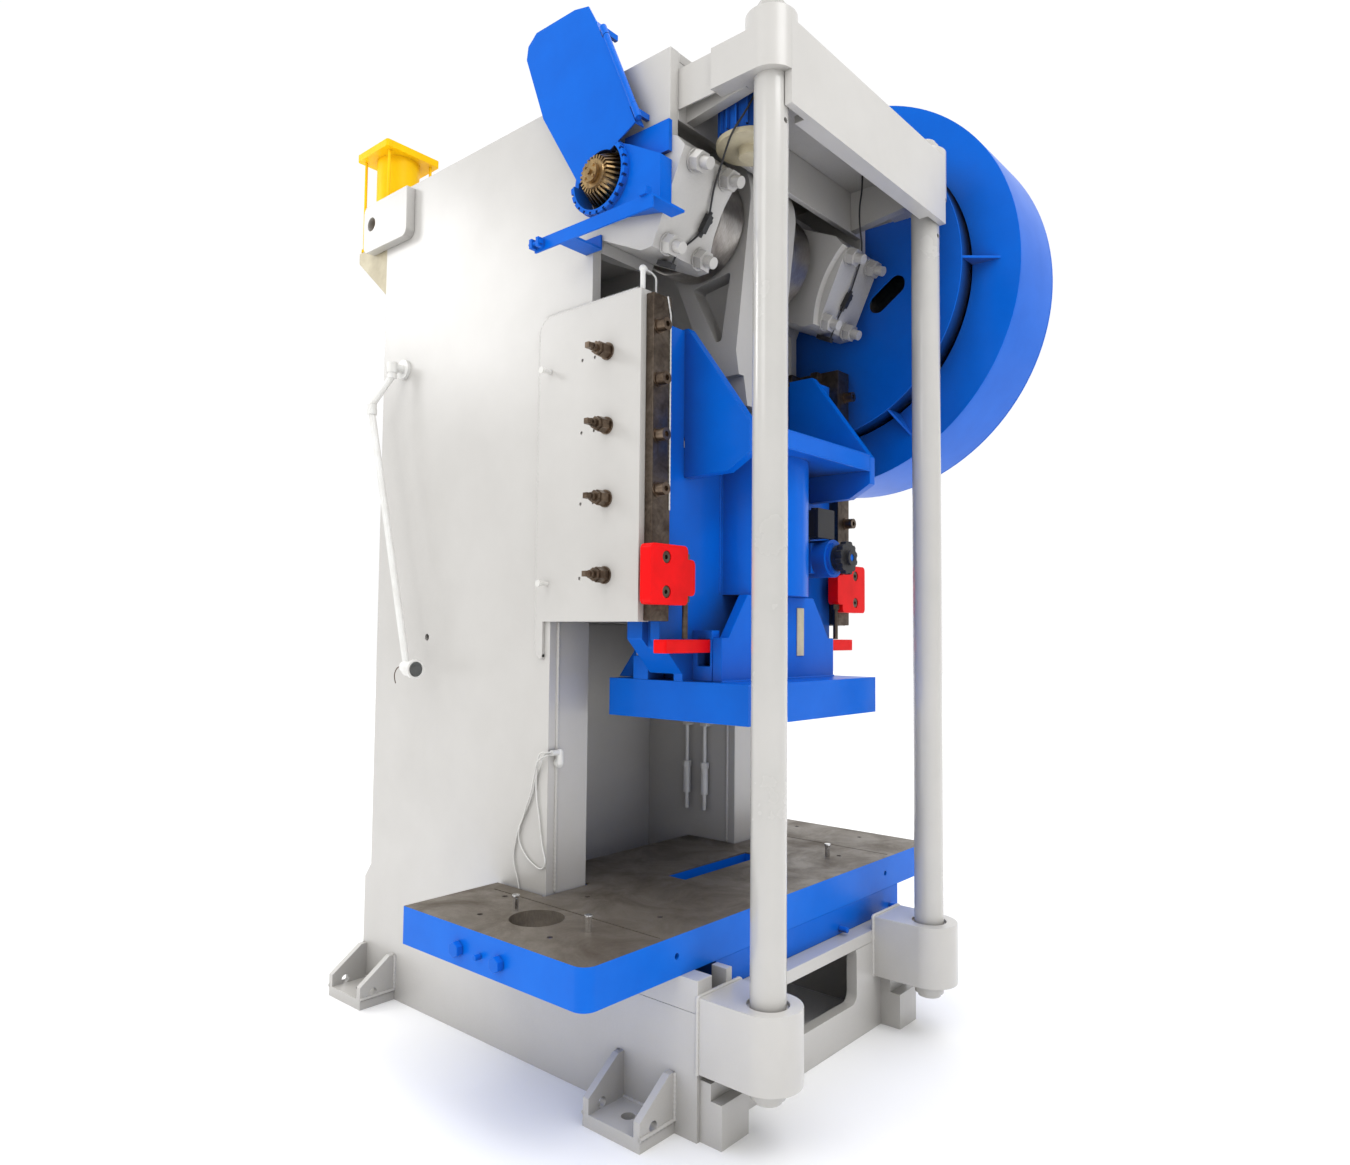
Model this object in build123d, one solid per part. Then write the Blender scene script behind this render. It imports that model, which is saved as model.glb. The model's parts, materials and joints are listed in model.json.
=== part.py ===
from build123d import *
import os
from math import asin, atan2, cos, pi, radians, sin, sqrt, tan

os.makedirs("parts", exist_ok=True)

# Single-crank C-frame stamping press with two front tie rods.
# Millimetres, +Z up, the open front faces -Y, +X to the right seen from the front.
# The origin is the floor point midway between the four anchor holes.

# Heights, stacked from the floor
bed_top = 376.0             # top of the bed
riser_t = 99.0              # blue riser between bed and bolster
bolster_t = 125.0
daylight = 621.0            # bolster to ram plate at rest, which is the top of the stroke
plate_t = 135.0             # bottom plate of the ram
head_over_plate = 202.0     # head underside above the top of the ram's plate
head_high = 1106.0          # guide part of the head
crank_over_head = 401.0     # crank axis above the guide part
top_over_crank = 385.0      # top of the side plates above the crank axis

bolster_top = bed_top + riser_t + bolster_t
plate_low = bolster_top + daylight
plate_high = plate_low + plate_t
head_bottom = plate_high + head_over_plate
head_shoulder = head_bottom + head_high
crank_z = head_shoulder + crank_over_head
frame_top = crank_z + top_over_crank

# Depths, measured from the front edge of the uprights
throat_face = -282.0        # front edge of the uprights
bed_reach = 691.0           # bed in front of the uprights
head_reach = 438.0          # head in front of the uprights
nose_reach = 108.0          # upper frame in front of the head
passage_long = 511.0        # passage between the uprights, front to back
rear_long = 616.0           # frame behind the passage's wall
base_extra = 45.0           # base behind the upper frame

bed_front = throat_face - bed_reach
head_front = throat_face - head_reach
nose_front = head_front - nose_reach
cross_wall_y = throat_face + passage_long
frame_rear = cross_wall_y + rear_long
base_rear = frame_rear + base_extra
crank_y = head_front + 150.0
slide_y = head_front + 5.0  # middle of the ram's barrel

# Widths of the frame and its plates
frame_half = 644.0          # half width over the side plates
side_t = 40.0               # side plate thickness
upright_w = 193.0           # width of an upright, side plate included
post_t = 40.0               # front plate of the upright and floor of the head
inner_t = 25.0              # inner plates of the upright and wall of the passage
bed_plate_t = 45.0          # top plate of the bed
front_plate_t = 45.0        # front plate of the bed
rear_plate_t = 25.0         # rear plate
roof_t = 30.0               # roof plate
side_in = frame_half - side_t
upright_inner = frame_half - upright_w

base_step = 520.0           # height where the rear steps in
step_slope = 60.0
window_half = 308.0         # front window of the bed, half width
window_low = 133.0
window_high = 340.0
window_r = 32.0
scrap_margin = 40.0         # scrap hole in the bed, round the bolster's slot
floor_back = 18.0           # floor of the head starts this far in front of the uprights
access_w = 620.0            # rear access windows
access_h = 760.0
access_r = 80.0
access_up = [630.0, 1830.0]  # their middles above the rear step
port_hole_r = 14.0          # plain hole in the left side plate
port_hole_y = 471.0
port_hole_z = 1495.0

# Raised plate on each side of the head
pad_t = 12.0
pad_depth = 505.0
pad_drop = 126.0            # pad below the underside of the head
pad_r = 60.0
pad_lap = 28.0              # pad over the front edge of the upright

# Feet and anchor holes
anchor_y = 765.0            # anchor holes lie at +- this distance along Y
foot_out = 156.0            # how far a foot reaches out of the side plate
foot_len = 240.0
foot_t = 40.0
foot_high = 182.0
gusset_t = 25.0
gusset_crop = 95.0          # height of the gusset's outer edge
anchor_r = 22.0
jack_hole_r = 17.0
jack_share = 0.62           # jack hole's place along the gusset
front_pad_w = 135.0
front_pad_deep = 82.0
front_pad_in = 15.0

# Tie rods, lower lugs and crown
lug_r = 106.0
rod_x = frame_half - lug_r  # the lug's round is flush with the side plate
rod_reach = 183.0           # tie rod in front of the bed
rod_y = bed_front - rod_reach
rod_r = 55.0
shank_r = 42.0
fit_gap = 1.0               # play of the tie rod's shank
lug_low = 201.0
lug_high = 427.0
seat_deep = 12.0
seat_wider = 9.0
boss_r = 83.0
boss_high = frame_top
boss_len = 195.0
boss_low = boss_high - boss_len
arm_t = 60.0
arm_reach = 177.0
arm_drop = 60.0             # crown's arms and deck below the bosses' tops
arm_high = boss_high - arm_drop
deck_t = 28.0
beam_t = 25.0
beam_drop = 32.0            # top of the front beam below the bosses' tops
beam_high = 270.0
crown_high = boss_high - beam_drop
crown_low = crown_high - beam_high
crown_front = rod_y - boss_r
beam_past = 9.0             # front beam past the tie rod's centre
flange_deep = 60.0
flange_half = rod_x - 98.0
crown_side_rise = 30.0      # side plate's rise towards the frame
cross_low = frame_top - 232.0
cap_nut_w = 92.0            # top nuts of the tie rods
cap_nut_t = 32.0
washer_t = 8.0
washer_wider = 6.0
foot_nut_r = 66.0           # stepped nuts under the lower lugs
foot_nut_t = 18.0
foot_step_r = 54.0
foot_step_t = 22.0
thread_out = 14.0
bore_fit = 0.2              # nuts on the shank
eye_hole_r = 9.0            # tapped hole near the top of each rod
eye_hole_drop = 150.0

# Lifting lugs
lifting_t = 42.0
lifting_front = 210.0       # lug in front of and behind the rear edge
lifting_back = 130.0
lifting_h = 215.0
lifting_drop = 20.0
lifting_r = 34.0
lug_hole_r = 30.0
lug_hole_in = 62.0
lug_hole_drop = 112.0

# Bolster and riser
bolster_w = 2100.0
bolster_d = 876.0
bolster_front = bed_front + 68.0
bolster_corner = 45.0
riser_left = -470.0
riser_right = 770.0
notch_gap = 12.0            # gap between bolster and uprights
die_hole_r = 90.0
die_hole_in = 212.0         # from the bolster's left end
die_hole_back = 445.0       # from its front edge
slot_x0 = -160.0
slot_x1 = 346.0
slot_back = 391.0
slot_w = 95.0
groove_w = 6.0
groove_deep = 5.0
groove_in = 332.0           # grooves from the bolster's ends
groove_front = 20.0
groove_rear = 60.0
tapped_r = 10.0
tapped_deep = 30.0
clamp_x = 560.0             # four clamping holes on a rectangle
clamp_front = 160.0
clamp_pitch = 340.0
loose_holes = [(300.0, 715.0), (115.0, 613.0), (395.0, 619.0), (117.0, 274.0)]
front_hole_in = 388.0       # tapped holes in the front edge, from the ends
front_hole_deep = 40.0
pin_spots = [(219.0, 560.0), (230.0, 225.0), (1570.0, 190.0)]
pin_high = 52.0
pin_r = 10.0
pin_head = 10.0
pin_head_r = 13.0
end_bolt_w = 44.0
end_bolt_t = 24.0
end_bolt_back = [567.0, 368.0]
end_dowel_back = 460.0
end_dowel_r = 9.0
end_bolt_drop = 70.0
riser_bolt_x = [296.0, 700.0]
riser_bolt_r = 11.0
riser_bolt_out = 36.0
rest_w = 70.0
stop_bar_w = 30.0
stop_bar_d = 60.0
stop_bar_gap = 3.0
riser_slot_margin = 35.0

# Crank drive
crank_throw = 80.0          # half of the stroke
pin_z = crank_z + crank_throw
tilt = 25.0                 # the bearing caps lean this far from upright
run_gap = 0.05              # radial running clearance of the drive's bearings
journal_r = 95.0
bush_wall = 14.0
bush_r = journal_r + run_gap + bush_wall
cap_w = 300.0               # length of a bearing along the crank
cap_inner_x = frame_half - cap_w
cap_reach = 280.0           # cap face distance from the crank axis
stud_half = 137.0           # studs above and below the middle of the cap
cap_edge = 50.0             # from the studs to the cap's upper and lower edge
cap_half = stud_half + cap_edge
cap_crop = 46.0
scallop_r = 420.0
scallop_deep = 34.0
housing_extra = 38.0        # housing wider than its cap
housing_back = 230.0        # how far the housing reaches behind the axis
housing_half = cap_half + housing_extra
stud_r = 20.0
stud_root = 60.0
stud_out = 34.0
stud_x0 = cap_inner_x + 71.0
stud_x1 = frame_half - 64.0
nut_w = 62.0
nut_t = 34.0
nut_washer_r = 38.0
nut_washer_t = 6.0
con_half = 150.0            # half width of the rod along the crankshaft
web_gap = 8.0
web_in = con_half + web_gap
web_out = cap_inner_x - 48.0
web_r = 205.0
web_edge = 8.0
shoulder_extra = 24.0
shoulder_gap = 1.0
crank_pin_r = 105.0

# Gears
bevel_in = frame_half + 11.0  # bevel gear between these planes on the left
bevel_w = 90.0
bevel_out = bevel_in + bevel_w
bevel_teeth = 26
bevel_r0 = 97.0
bevel_r1 = 64.0
tooth_deep = 22.0
tooth_half = 3.6
bevel_bore = 30.0
hub_step_r = 26.0
hub_end_r = 10.0
hub_screws = 4
hub_screw_ring = 38.0
hub_screw_r = 5.0
ring_extra = 9.0            # distance ring outside the journal
guard_in = frame_half + 46.0
guard_step = guard_in + 110.0
gear_gap = 30.0
gear_x0 = guard_step + gear_gap
gear_w = 100.0
gear_x1 = gear_x0 + gear_w
gear_module = 14.0
gear_teeth = 108
gear_rim = 70.0
gear_recess = 35.0
gear_hub_out = 25.0
gear_hub_wall = 75.0
gear_holes = 6
gear_hole_r = 135.0
gear_hole_ring = 430.0
gear_stub = 60.0

# Connecting rod and its screw
big_r = 225.0
neck_along = 590.0
neck_half = 75.0
neck_long = 210.0
neck_end = neck_along + neck_long
neck_x = 120.0
waist_over = 575.0          # rod narrows from this height over the ball
pocket_deep = 70.0
pocket_top = 60.0
pocket_half = 92.0
pocket_tip = 12.0
pocket_r = 11.0
rod_hole_r = 8.0
rod_hole_in = 26.0
rod_hole_along = [570.0, 640.0]
screw_r = 60.0
thread_rings = 5
thread_pitch = 14.0
thread_t = 7.0
thread_extra = 5.0
thread_start = 22.0
ball_r = 78.0
ball_over_plate = 549.0     # ball's centre above the ram's plate at rest
ball_z = plate_high + ball_over_plate
ball_shift = 40.0           # the ball rests this far in front of the barrel's middle

# Ram
gib_inset = 13.0            # gib's outer face inside the frame's side
gib_w = 90.0
gib_x1 = frame_half - gib_inset
body_half = gib_x1 - gib_w  # half width over the guide flanges
flange_w = 120.0
plate_half = body_half - flange_w  # half width of the bottom plate and of the shelf
plate_reach = 278.0         # bottom plate in front of the barrel's middle
plate_front = slide_y - plate_reach
plate_tail = 353.0          # and behind it
plate_rear = slide_y + plate_tail
flange_front = slide_y + 3.0
flange_t = 150.0
flange_foot = 24.0
flange_rise = 120.0
body_rise = 1224.0          # ram's height over its bottom plate
body_top = plate_high + body_rise
slide_web_t = 40.0
rib_t = 40.0
rib_x = plate_half - 131.0
rib_toe = 60.0
rib_rise = 330.0
shelf_rise = 811.0
shelf_low = plate_high + shelf_rise
shelf_t = 61.0
barrel_rise = 304.0
barrel_low = plate_high + barrel_rise
barrel_r = 200.0
barrel_wall = 32.0
barrel_floor = 40.0
barrel_hole_r = barrel_r - barrel_wall
tongue_front = 42.0         # tongue behind the front of the flange
tongue_t = 36.0
tongue_in = 30.3
tongue_y0 = flange_front + tongue_front
tongue_y1 = tongue_y0 + tongue_t
guide_gap = 0.3
cheek_t = 40.0
cheek_top = shelf_low + 419.0
cheek_low = shelf_low - 107.0
cheek_deep = 99.0
cheek_step = 33.0
cheek_lip = 12.0
shank_bore_r = 32.0
shank_bore_deep = 80.0
clamp_cols = [-300.0, -100.0, 100.0, 300.0]
clamp_rows = [-185.0, 0.0, 185.0]
clamp_deep = 45.0
front_plate_y = slide_y - 123.0
front_foot_in = 58.0
front_foot_h = 150.0
front_step_in = 96.0
front_top_half = 215.0
brace_out = 130.0
brace_in = 98.0
brace_flat = 92.0
brace_high = 118.0
seat_r = 150.0
seat_high = 109.0
seat_cup_r = 100.0
seat_cup_up = 60.0

# Knock-out bar, its guides and stops
bar_half = 600.0
bar_y0 = slide_y - 75.0
bar_d = 55.0
bar_y1 = bar_y0 + bar_d
bar_low = plate_high + 99.0
bar_t = 45.0
bar_high = bar_low + bar_t
bar_drop = 45.0
bar_r = 8.0
bar_play = 0.5
guide_x = 345.0
guide_half = 22.0
guide_over = 32.0
block_out = 40.0            # stop block past the frame's side
block_in = 144.0            # its inner face from the frame's side
block_y0 = head_front - 80.0
block_t = 46.0
block_low = head_bottom + 55.0
block_h = 197.0
lobe_in = 182.0
lobe_low = 32.0
lobe_h = 121.0
block_r = 18.0
block_hole_in = 38.0
block_hole_up = [42.0, 155.0]
stop_x = frame_half - 160.0
stop_y = block_y0 + 25.0
stop_r = 10.0
stop_fit = 0.3
stop_gap = 2.0              # stop screw above the knock-out bar
stop_nut_w = 27.0
stop_nut_t = 20.0
socket_r = 19.0
socket_t = 20.0
socket_hex = 14.0
socket_shank_r = 12.0
socket_shank = 24.0

# Gibs and their screws
gib_t = 34.0
gib_low = head_bottom + 2.0
gib_top = head_shoulder - 14.0
rear_lip_in = 61.0
rear_lip_t = 46.7
gib_bolt_up = [980.0, 800.0, 613.0, 433.0]
gib_bolt_in = 27.0
gib_bolt_r = 21.0
gib_bolt_t = 38.0
gib_bolt_hex = 18.0
gib_washer_r = 26.0
gib_washer_t = 4.0
screw_y = head_front + 154.0  # gib adjusting screws
screw_up = [920.0, 664.0, 415.0, 156.0]
screw_shank_r = 14.0
screw_fit = 0.5
screw_reach_left = 74.0
screw_reach_right = 26.0    # short behind the drum guard
screw_washer_r = 30.0
screw_washer_t = 6.0
screw_nut_w = 46.0
lock_nut_w = 40.0
lock_nut_t = 14.0
square_w = 19.0
square_t = 24.0
stub_y = throat_face + 6.0  # plain stub pins behind them
stub_up = [899.0, 134.0]
stub_r = 9.0
stub_head = 12.0
stub_head_extra = 3.0
stub_root = 24.0
stub_reach_left = 52.0
stub_reach_right = 30.0
small_hole_r = 6.0
small_hole_back = [62.0, 124.0]
small_hole_drop = 8.0

# Adjuster, switch box and small plates on the ram
adjust_x = 330.0
adjust_up = 466.0
adjust_z = plate_high + adjust_up
adjust_r = 75.0
adjust_front = slide_y - 145.0
neck_disc_r = 62.0
neck_disc_t = 14.0
knob_pin_r = 14.0
knob_pin_out = 66.0
foot_left = 75.0
foot_right = 62.0
foot_front = slide_y - 85.0
foot_half = 60.0
knob_gap = 2.0
knob_hub_r = 52.0
knob_hub_t = 27.0
knob_rim_r = 66.0
knob_rim_t = 26.0
knob_end_r = 30.0
knob_end_t = 15.0
knob_flutes = 12
flute_r = 11.0
flute_ring = 70.0
box_x0 = 235.0
box_w = 110.0
box_up = 549.0
box_h = 105.0
box_front = slide_y - 125.0
lid_t = 10.0
lid_over = 6.0
gland_r = 13.0
gland_in = 27.0
scale_x0 = 96.0
scale_w = 46.0
scale_up = 84.0
scale_h = 180.0
scale_t = 4.0
limit_w = 101.0
limit_back = 175.0
limit_d = 60.0
limit_h = 84.0
limit_toe = 12.0
limit_toe_w = 81.0
limit_toe_h = 60.0
cam_w = 80.0
cam_d = 40.0
cam_h = 90.0
cam_in = 6.0
cam_r = 8.0
limit_nut_w = 34.0
limit_nut_up = 40.0

# Casing, cover and sensor arm round the bevel gear
casing_w = 56.0
casing_out = frame_half + casing_w
casing_r = 132.0
ring_r = 113.0
ring_t = 22.0
ring_teeth = 24
ring_slot = 10.0
ring_root = 6.0
casing_line = [(130.0, -74.0), (268.0, 3.0), (268.0, 175.0), (30.0, 130.0)]
ledge_t = 16.0
ledge_d = 198.0
ledge_low = 25.0
ledge_h = 106.0
hinge_front = 176.0         # foot of the cover's hinge line from the crank axis
hinge_up = 139.0
hinge_lean = 24.2           # degrees from upright
hinge_long = 475.0
cover_x = frame_half + 58.0
cover_t = 5.0
cover_line = [(107.0, 10.0), (298.0, 312.0), (398.0, 575.0), (390.0, 623.0), (345.0, 657.0),
              (140.0, 653.0), (70.0, 635.0)]
cover_gap = 14.0
cover_foot = 4.0
rim_w = 38.0
relief_r = 93.0
edge_gap = 9.0
strap_w = 16.0
hinge_pin_r = 6.0
hinge_barrel_r = 11.0
ear_r = 12.0
ear_half_y = 7.0
ear_half_z = 10.0
barrel_from = 70.0
barrel_to = 390.0
ear_gap = 2.0
low_ear = 58.0
high_ear = 40.0
arm_x = frame_half + 156.0
arm_sheet = 8.0
arm_ahead = 325.0
arm_front = crank_y - arm_ahead
arm_behind = 225.0
arm_back = crank_y + arm_behind
arm_low = crank_z - 233.0
arm_h = 45.0
stay_w = 57.0
tab_front = 50.0
tab_w = 80.0
tab_up = 16.0
tab_foot_h = 44.0
eye_out = 26.0
eye_t = 14.0
eye_pitch = 34.0
eye_in = 8.0
eye_pin_r = 7.0
clip_w = 30.0
clip_h = 28.0

# Drum guard round the bull gear
guard_w = 365.0
guard_out = guard_step + guard_w
guard_r0 = 671.0
guard_r1 = 873.0
guard_t = 8.0
guard_hole_extra = 30.0
oval_l = 190.0
oval_w = 84.0
oval_turn = 55.0
oval_front = 335.0
oval_drop = 80.0
lid_plate_r = 190.0
lid_plate_t = 14.0
lid_bolt_count = 8
lid_bolt_r = 14.0
lid_bolt_t = 12.0
lid_bolt_in = 40.0
rib_angles = [90.0, 150.0, 30.0, 210.0, -30.0]
rib_reach = 120.0
rib_thick = 10.0
mount_spots = [(10.0, 265.0), (320.0, 265.0), (530.0, 55.0), (470.0, -205.0), (240.0, -335.0)]
mount_w = 80.0
mount_h = 60.0

# Lamp on the left side plate
lamp_y = 680.0
lamp_z = 2642.0
elbow_x = frame_half + 116.0
elbow_y = 740.0
elbow_drop = 196.0
tail_y = 439.0
tail_drop = 1246.0
tube_r = 14.0
lamp_out = 62.0
wall_disc_r = 42.0
wall_disc_t = 14.0
post_r = 22.0
swivel_r = 19.0
elbow_r = 21.0
elbow_t = 22.0
socket_ball_r = 26.0
socket_body_r = 30.0
socket_rim_r = 38.0
lamp_in = 20.0
lens_t = 8.0

# Air cylinder behind the frame and motor under the crown
tank_in = 124.0             # cylinder's axis in from the left side
tank_x = tank_in - frame_half
tank_back = 125.0
tank_y = frame_rear + tank_back
tank_low = frame_top - 185.0
tank_h = 461.0
tank_top = tank_low + tank_h
tank_r = 95.0
tank_foot_r = 120.0
tank_foot_t = 28.0
tank_head_t = 32.0
tank_head_w = 276.0
tank_head_d = 250.0
tank_head_r = 12.0
tank_port_r = 26.0
tank_port_t = 16.0
tank_rod_r = 6.5
tank_rod_dx = 108.0
tank_rod_dy = 96.0
tank_nut_w = 24.0
tank_nut_t = 14.0
tank_shelf_t = 25.0
tank_shelf_in = 118.0
tank_shelf_out = 160.0
tank_rib_t = 20.0
tank_rib_h = 235.0
motor_in = 244.0            # motor's axis in from the left side
motor_x = motor_in - frame_half
motor_reach = 147.0
motor_y = nose_front - motor_reach
motor_h = 220.0
motor_low = arm_high - motor_h
motor_r = 96.0
motor_flange_t = 20.0
fin_count = 18
fin_out = 110.0
fin_t = 6.0
fin_in = 14.0
foot_extra = 20.0
shaft_cover_r = 40.0
shaft_cover_t = 30.0

# Pipes, cable gland and cables
pipe_back = [256.0, 154.0]
pipe_r = 9.0
pipe_low = 725.0
pipe_long = 460.0
sleeve_r = 17.0
sleeve_low = 795.0
sleeve_long = 130.0
union_w = 35.0
union_t = 26.0
pipe_in = 22.0
pipe_clip_z = 1110.0
cable_r = 2.5
lead_r = 3.5
tail_r = 2.0
hose_r = 3.5
nozzle_r = 13.0
sensor_w = 22.0
sensor_l = 62.0
sensor_left_x = -449.0
sensor_right_x = 495.0
sensor_down = 24.0
sensor_run = (-10.0, 56.0)     # direction along the cap's face
clip_left_x = -532.0
clip_right_x = 490.0
sensor_back = 4.0


def block(x0, x1, y0, y1, z0, z1):
    """Plain plate or bar between two corners."""
    return Pos((x0 + x1) / 2, (y0 + y1) / 2, (z0 + z1) / 2) * Box(x1 - x0, y1 - y0, z1 - z0)


def rod_along(axis, centre, r, length):
    """Round bar whose middle is at centre."""
    turn = {"x": Rot(0, 90, 0), "y": Rot(90, 0, 0), "z": Rot(0, 0, 0)}[axis]
    return Pos(*centre) * turn * Cylinder(r, length)


def post(x, y, z0, z1, r):
    """Upright round bar between two heights."""
    return rod_along("z", (x, y, (z0 + z1) / 2), r, z1 - z0)


def peg(x, z, y0, y1, r):
    """Round bar front to back between two depths."""
    return rod_along("y", (x, (y0 + y1) / 2, z), r, y1 - y0)


def bar(y, z, x0, x1, r):
    """Round bar across the press between two sides."""
    return rod_along("x", ((x0 + x1) / 2, y, z), r, x1 - x0)


def hex_along(axis, centre, across, length):
    """Hexagonal bar whose middle is at centre."""
    turn = {"x": Rot(0, 90, 0), "y": Rot(90, 0, 0), "z": Rot(0, 0, 0)}[axis]
    body = extrude(RegularPolygon(across / sqrt(3), 6), length / 2, both=True)
    return Pos(*centre) * turn * body


def side_profile(points, x0, x1):
    """Outline given as (y, z) points, made a plate from x0 to x1."""
    face = make_face(Polyline([(0, y, z) for y, z in points], close=True))
    return Pos(x0, 0, 0) * extrude(face, x1 - x0, dir=(1, 0, 0))


def front_profile(points, y0, y1):
    """Outline given as (x, z) points, made a plate from y0 to y1."""
    face = make_face(Polyline([(x, 0, z) for x, z in points], close=True))
    return Pos(0, y0, 0) * extrude(face, y1 - y0, dir=(0, 1, 0))


def tube_between(a, b, r):
    """Round tube between two points."""
    way = tuple(q - p for p, q in zip(a, b))
    length = sqrt(sum(c * c for c in way))
    middle = tuple((p + q) / 2 for p, q in zip(a, b))
    return Plane(origin=middle, z_dir=way) * Cylinder(r, length)


def mirrored(shape):
    """The same piece on the other side of the press."""
    return mirror(shape, about=Plane.YZ)


def both(shape):
    """A piece and its mirror image as one node."""
    return [shape, mirrored(shape)]


def ring_spots(count, r, first=0.0):
    """(y, z) points spaced evenly on a circle round the crank axis."""
    angles = [radians(first + 360 * step / count) for step in range(count)]
    return [(crank_y + r * cos(a), crank_z + r * sin(a)) for a in angles]


# The frame and its welded plates

lean_n = (-cos(radians(tilt)), -sin(radians(tilt)))     # out of the cap face, as (y, z)
lean_d = (sin(radians(tilt)), -cos(radians(tilt)))      # down along the cap face
over = 1.0                                              # how far cuts run past a face


def lean(out, down):
    """(y, z) of a point given by its distance out of and down along the cap face."""
    y = crank_y + out * lean_n[0] + down * lean_d[0]
    z = crank_z + out * lean_n[1] + down * lean_d[1]
    return (y, z)


nose_out = (crank_y - nose_front - cap_half * lean_d[0]) / -lean_n[0]
shoulder_back = lean(0, housing_half)[0]
screw_heights = [head_bottom + up for up in screw_up]
stub_heights = [head_bottom + up for up in stub_up]


def crank_bore(x0, x1, r):
    """Bar along the crank axis, used to cut bores."""
    return bar(crank_y, crank_z, x0, x1, r)


def side_frame():
    """One C-shaped side plate, with its guide part, crank seat and feet line."""
    outline = [
        (bed_front, 0), (bed_front, bed_top), (throat_face, bed_top),
        (throat_face, head_bottom), (head_front, head_bottom), (head_front, head_shoulder),
        (shoulder_back, head_shoulder), lean(0, housing_half), lean(0, -cap_half),
        lean(nose_out, -cap_half), (nose_front, frame_top), (frame_rear, frame_top),
        (frame_rear, base_step), (base_rear, base_step - step_slope), (base_rear, 0),
    ]
    plate = side_profile(outline, side_in, frame_half)
    plate -= crank_bore(side_in - over, frame_half + over, bush_r)
    for z in screw_heights:
        plate -= bar(screw_y, z, side_in - over, frame_half + over, screw_shank_r)
    for z in stub_heights:
        plate -= bar(stub_y, z, side_in - over, frame_half + over, stub_r)
    return plate


def left_side_frame():
    """Left side plate with its plain port hole."""
    return mirrored(side_frame()) - bar(port_hole_y, port_hole_z, -frame_half - over,
                                        -side_in + over, port_hole_r)


def head_pad():
    """Raised plate on the side of the head, round its screws."""
    back = head_front + pad_depth
    low = head_bottom - pad_drop
    pad = block(frame_half, frame_half + pad_t, head_front, back, low, head_shoulder)
    pad -= block(frame_half - over, frame_half + pad_t + over, head_front - over,
                 throat_face + pad_lap, low - over, head_bottom)
    corners = [(back, low), (back, head_shoulder)]
    picked = [e for e in pad.edges().filter_by(Axis.X)
              if any(abs(e.center().Y - y) < over and abs(e.center().Z - z) < over
                     for y, z in corners)]
    pad = fillet(picked, min(pad_r, (back - throat_face - pad_lap) / 2))
    face = frame_half + pad_t
    for z in screw_heights:
        pad -= bar(screw_y, z, frame_half - over, face + over, screw_shank_r)
        for back_by in small_hole_back:
            pad -= bar(screw_y + back_by, z - small_hole_drop, face - pad_t / 2, face + over,
                       small_hole_r)
    for z in stub_heights:
        pad -= bar(stub_y, z, frame_half - over, face + over, stub_r)
    return pad


def upright_post():
    """Front plate and inner plate of one upright, welded into an angle."""
    front = block(upright_inner, side_in, throat_face, throat_face + post_t, bed_top, head_bottom)
    inner = block(upright_inner, upright_inner + inner_t, throat_face + post_t, cross_wall_y,
                  bed_top, head_bottom)
    return front + inner


def bed_front_plate():
    """Front plate of the bed with its round-cornered window."""
    plate = block(-side_in, side_in, bed_front, bed_front + front_plate_t, 0, bed_top - bed_plate_t)
    shape = RectangleRounded(2 * window_half, window_high - window_low, window_r)
    middle = Pos(0, bed_front + front_plate_t / 2, (window_low + window_high) / 2)
    return plate - middle * Rot(90, 0, 0) * extrude(shape, front_plate_t, both=True)


def slot_cut(margin, z0, z1):
    """The bolster's scrap slot, widened by a margin, as a cutting block."""
    front = bolster_front + slot_back
    return block(slot_x0 - margin, slot_x1 + margin, front - margin, front + slot_w + margin, z0, z1)


def bed_top_plate():
    """Top plate of the bed with a scrap hole under the bolster's slot."""
    plate = block(-side_in, side_in, bed_front, cross_wall_y, bed_top - bed_plate_t, bed_top)
    return plate - slot_cut(scrap_margin, 0, bed_top + over)


def cross_wall():
    """Wall that closes the passage between the uprights, from bed to head."""
    return block(-side_in, side_in, cross_wall_y, cross_wall_y + inner_t, 0, head_bottom)


def head_floor():
    """Underside plate of the head behind the slide."""
    return block(-side_in, side_in, throat_face - floor_back, cross_wall_y + inner_t, head_bottom,
                 head_bottom + post_t)


def rear_plate():
    """Rear plate with two round-cornered access windows."""
    plate = block(-side_in, side_in, frame_rear - rear_plate_t, frame_rear, base_step, frame_top)
    shape = RectangleRounded(access_w, access_h, access_r)
    for up in access_up:
        opening = Pos(0, frame_rear, base_step + up) * Rot(90, 0, 0)
        plate -= opening * extrude(shape, 2 * rear_plate_t, both=True)
    return plate


def base_rear_plate():
    """Low rear plate of the base."""
    return block(-side_in, side_in, base_rear - rear_plate_t, base_rear, 0, base_step - step_slope)


def roof():
    """Top plate between the side plates."""
    return block(-side_in, side_in, nose_front, frame_rear - rear_plate_t, frame_top - roof_t,
                 frame_top)


def nose_plate():
    """Front cross plate of the upper frame, behind the crown."""
    return block(-side_in, side_in, nose_front, nose_front + rear_plate_t, cross_low,
                 frame_top - roof_t)


# Crank bearings

def lean_bar(x, down, r, out0, out1):
    """Round bar standing square to the cap face."""
    y0, z0 = lean(out0, down)
    y1, z1 = lean(out1, down)
    where = Plane(origin=(x, (y0 + y1) / 2, (z0 + z1) / 2), z_dir=(0, lean_n[0], lean_n[1]))
    return where * Cylinder(r, abs(out1 - out0))


def lean_hex(x, down, across, out0, out1):
    """Hexagonal nut standing square to the cap face."""
    y0, z0 = lean(out0, down)
    where = Plane(origin=(x, y0, z0), z_dir=(0, lean_n[0], lean_n[1]), x_dir=(1, 0, 0))
    return where * extrude(RegularPolygon(across / sqrt(3), 6), out1 - out0)


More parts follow.
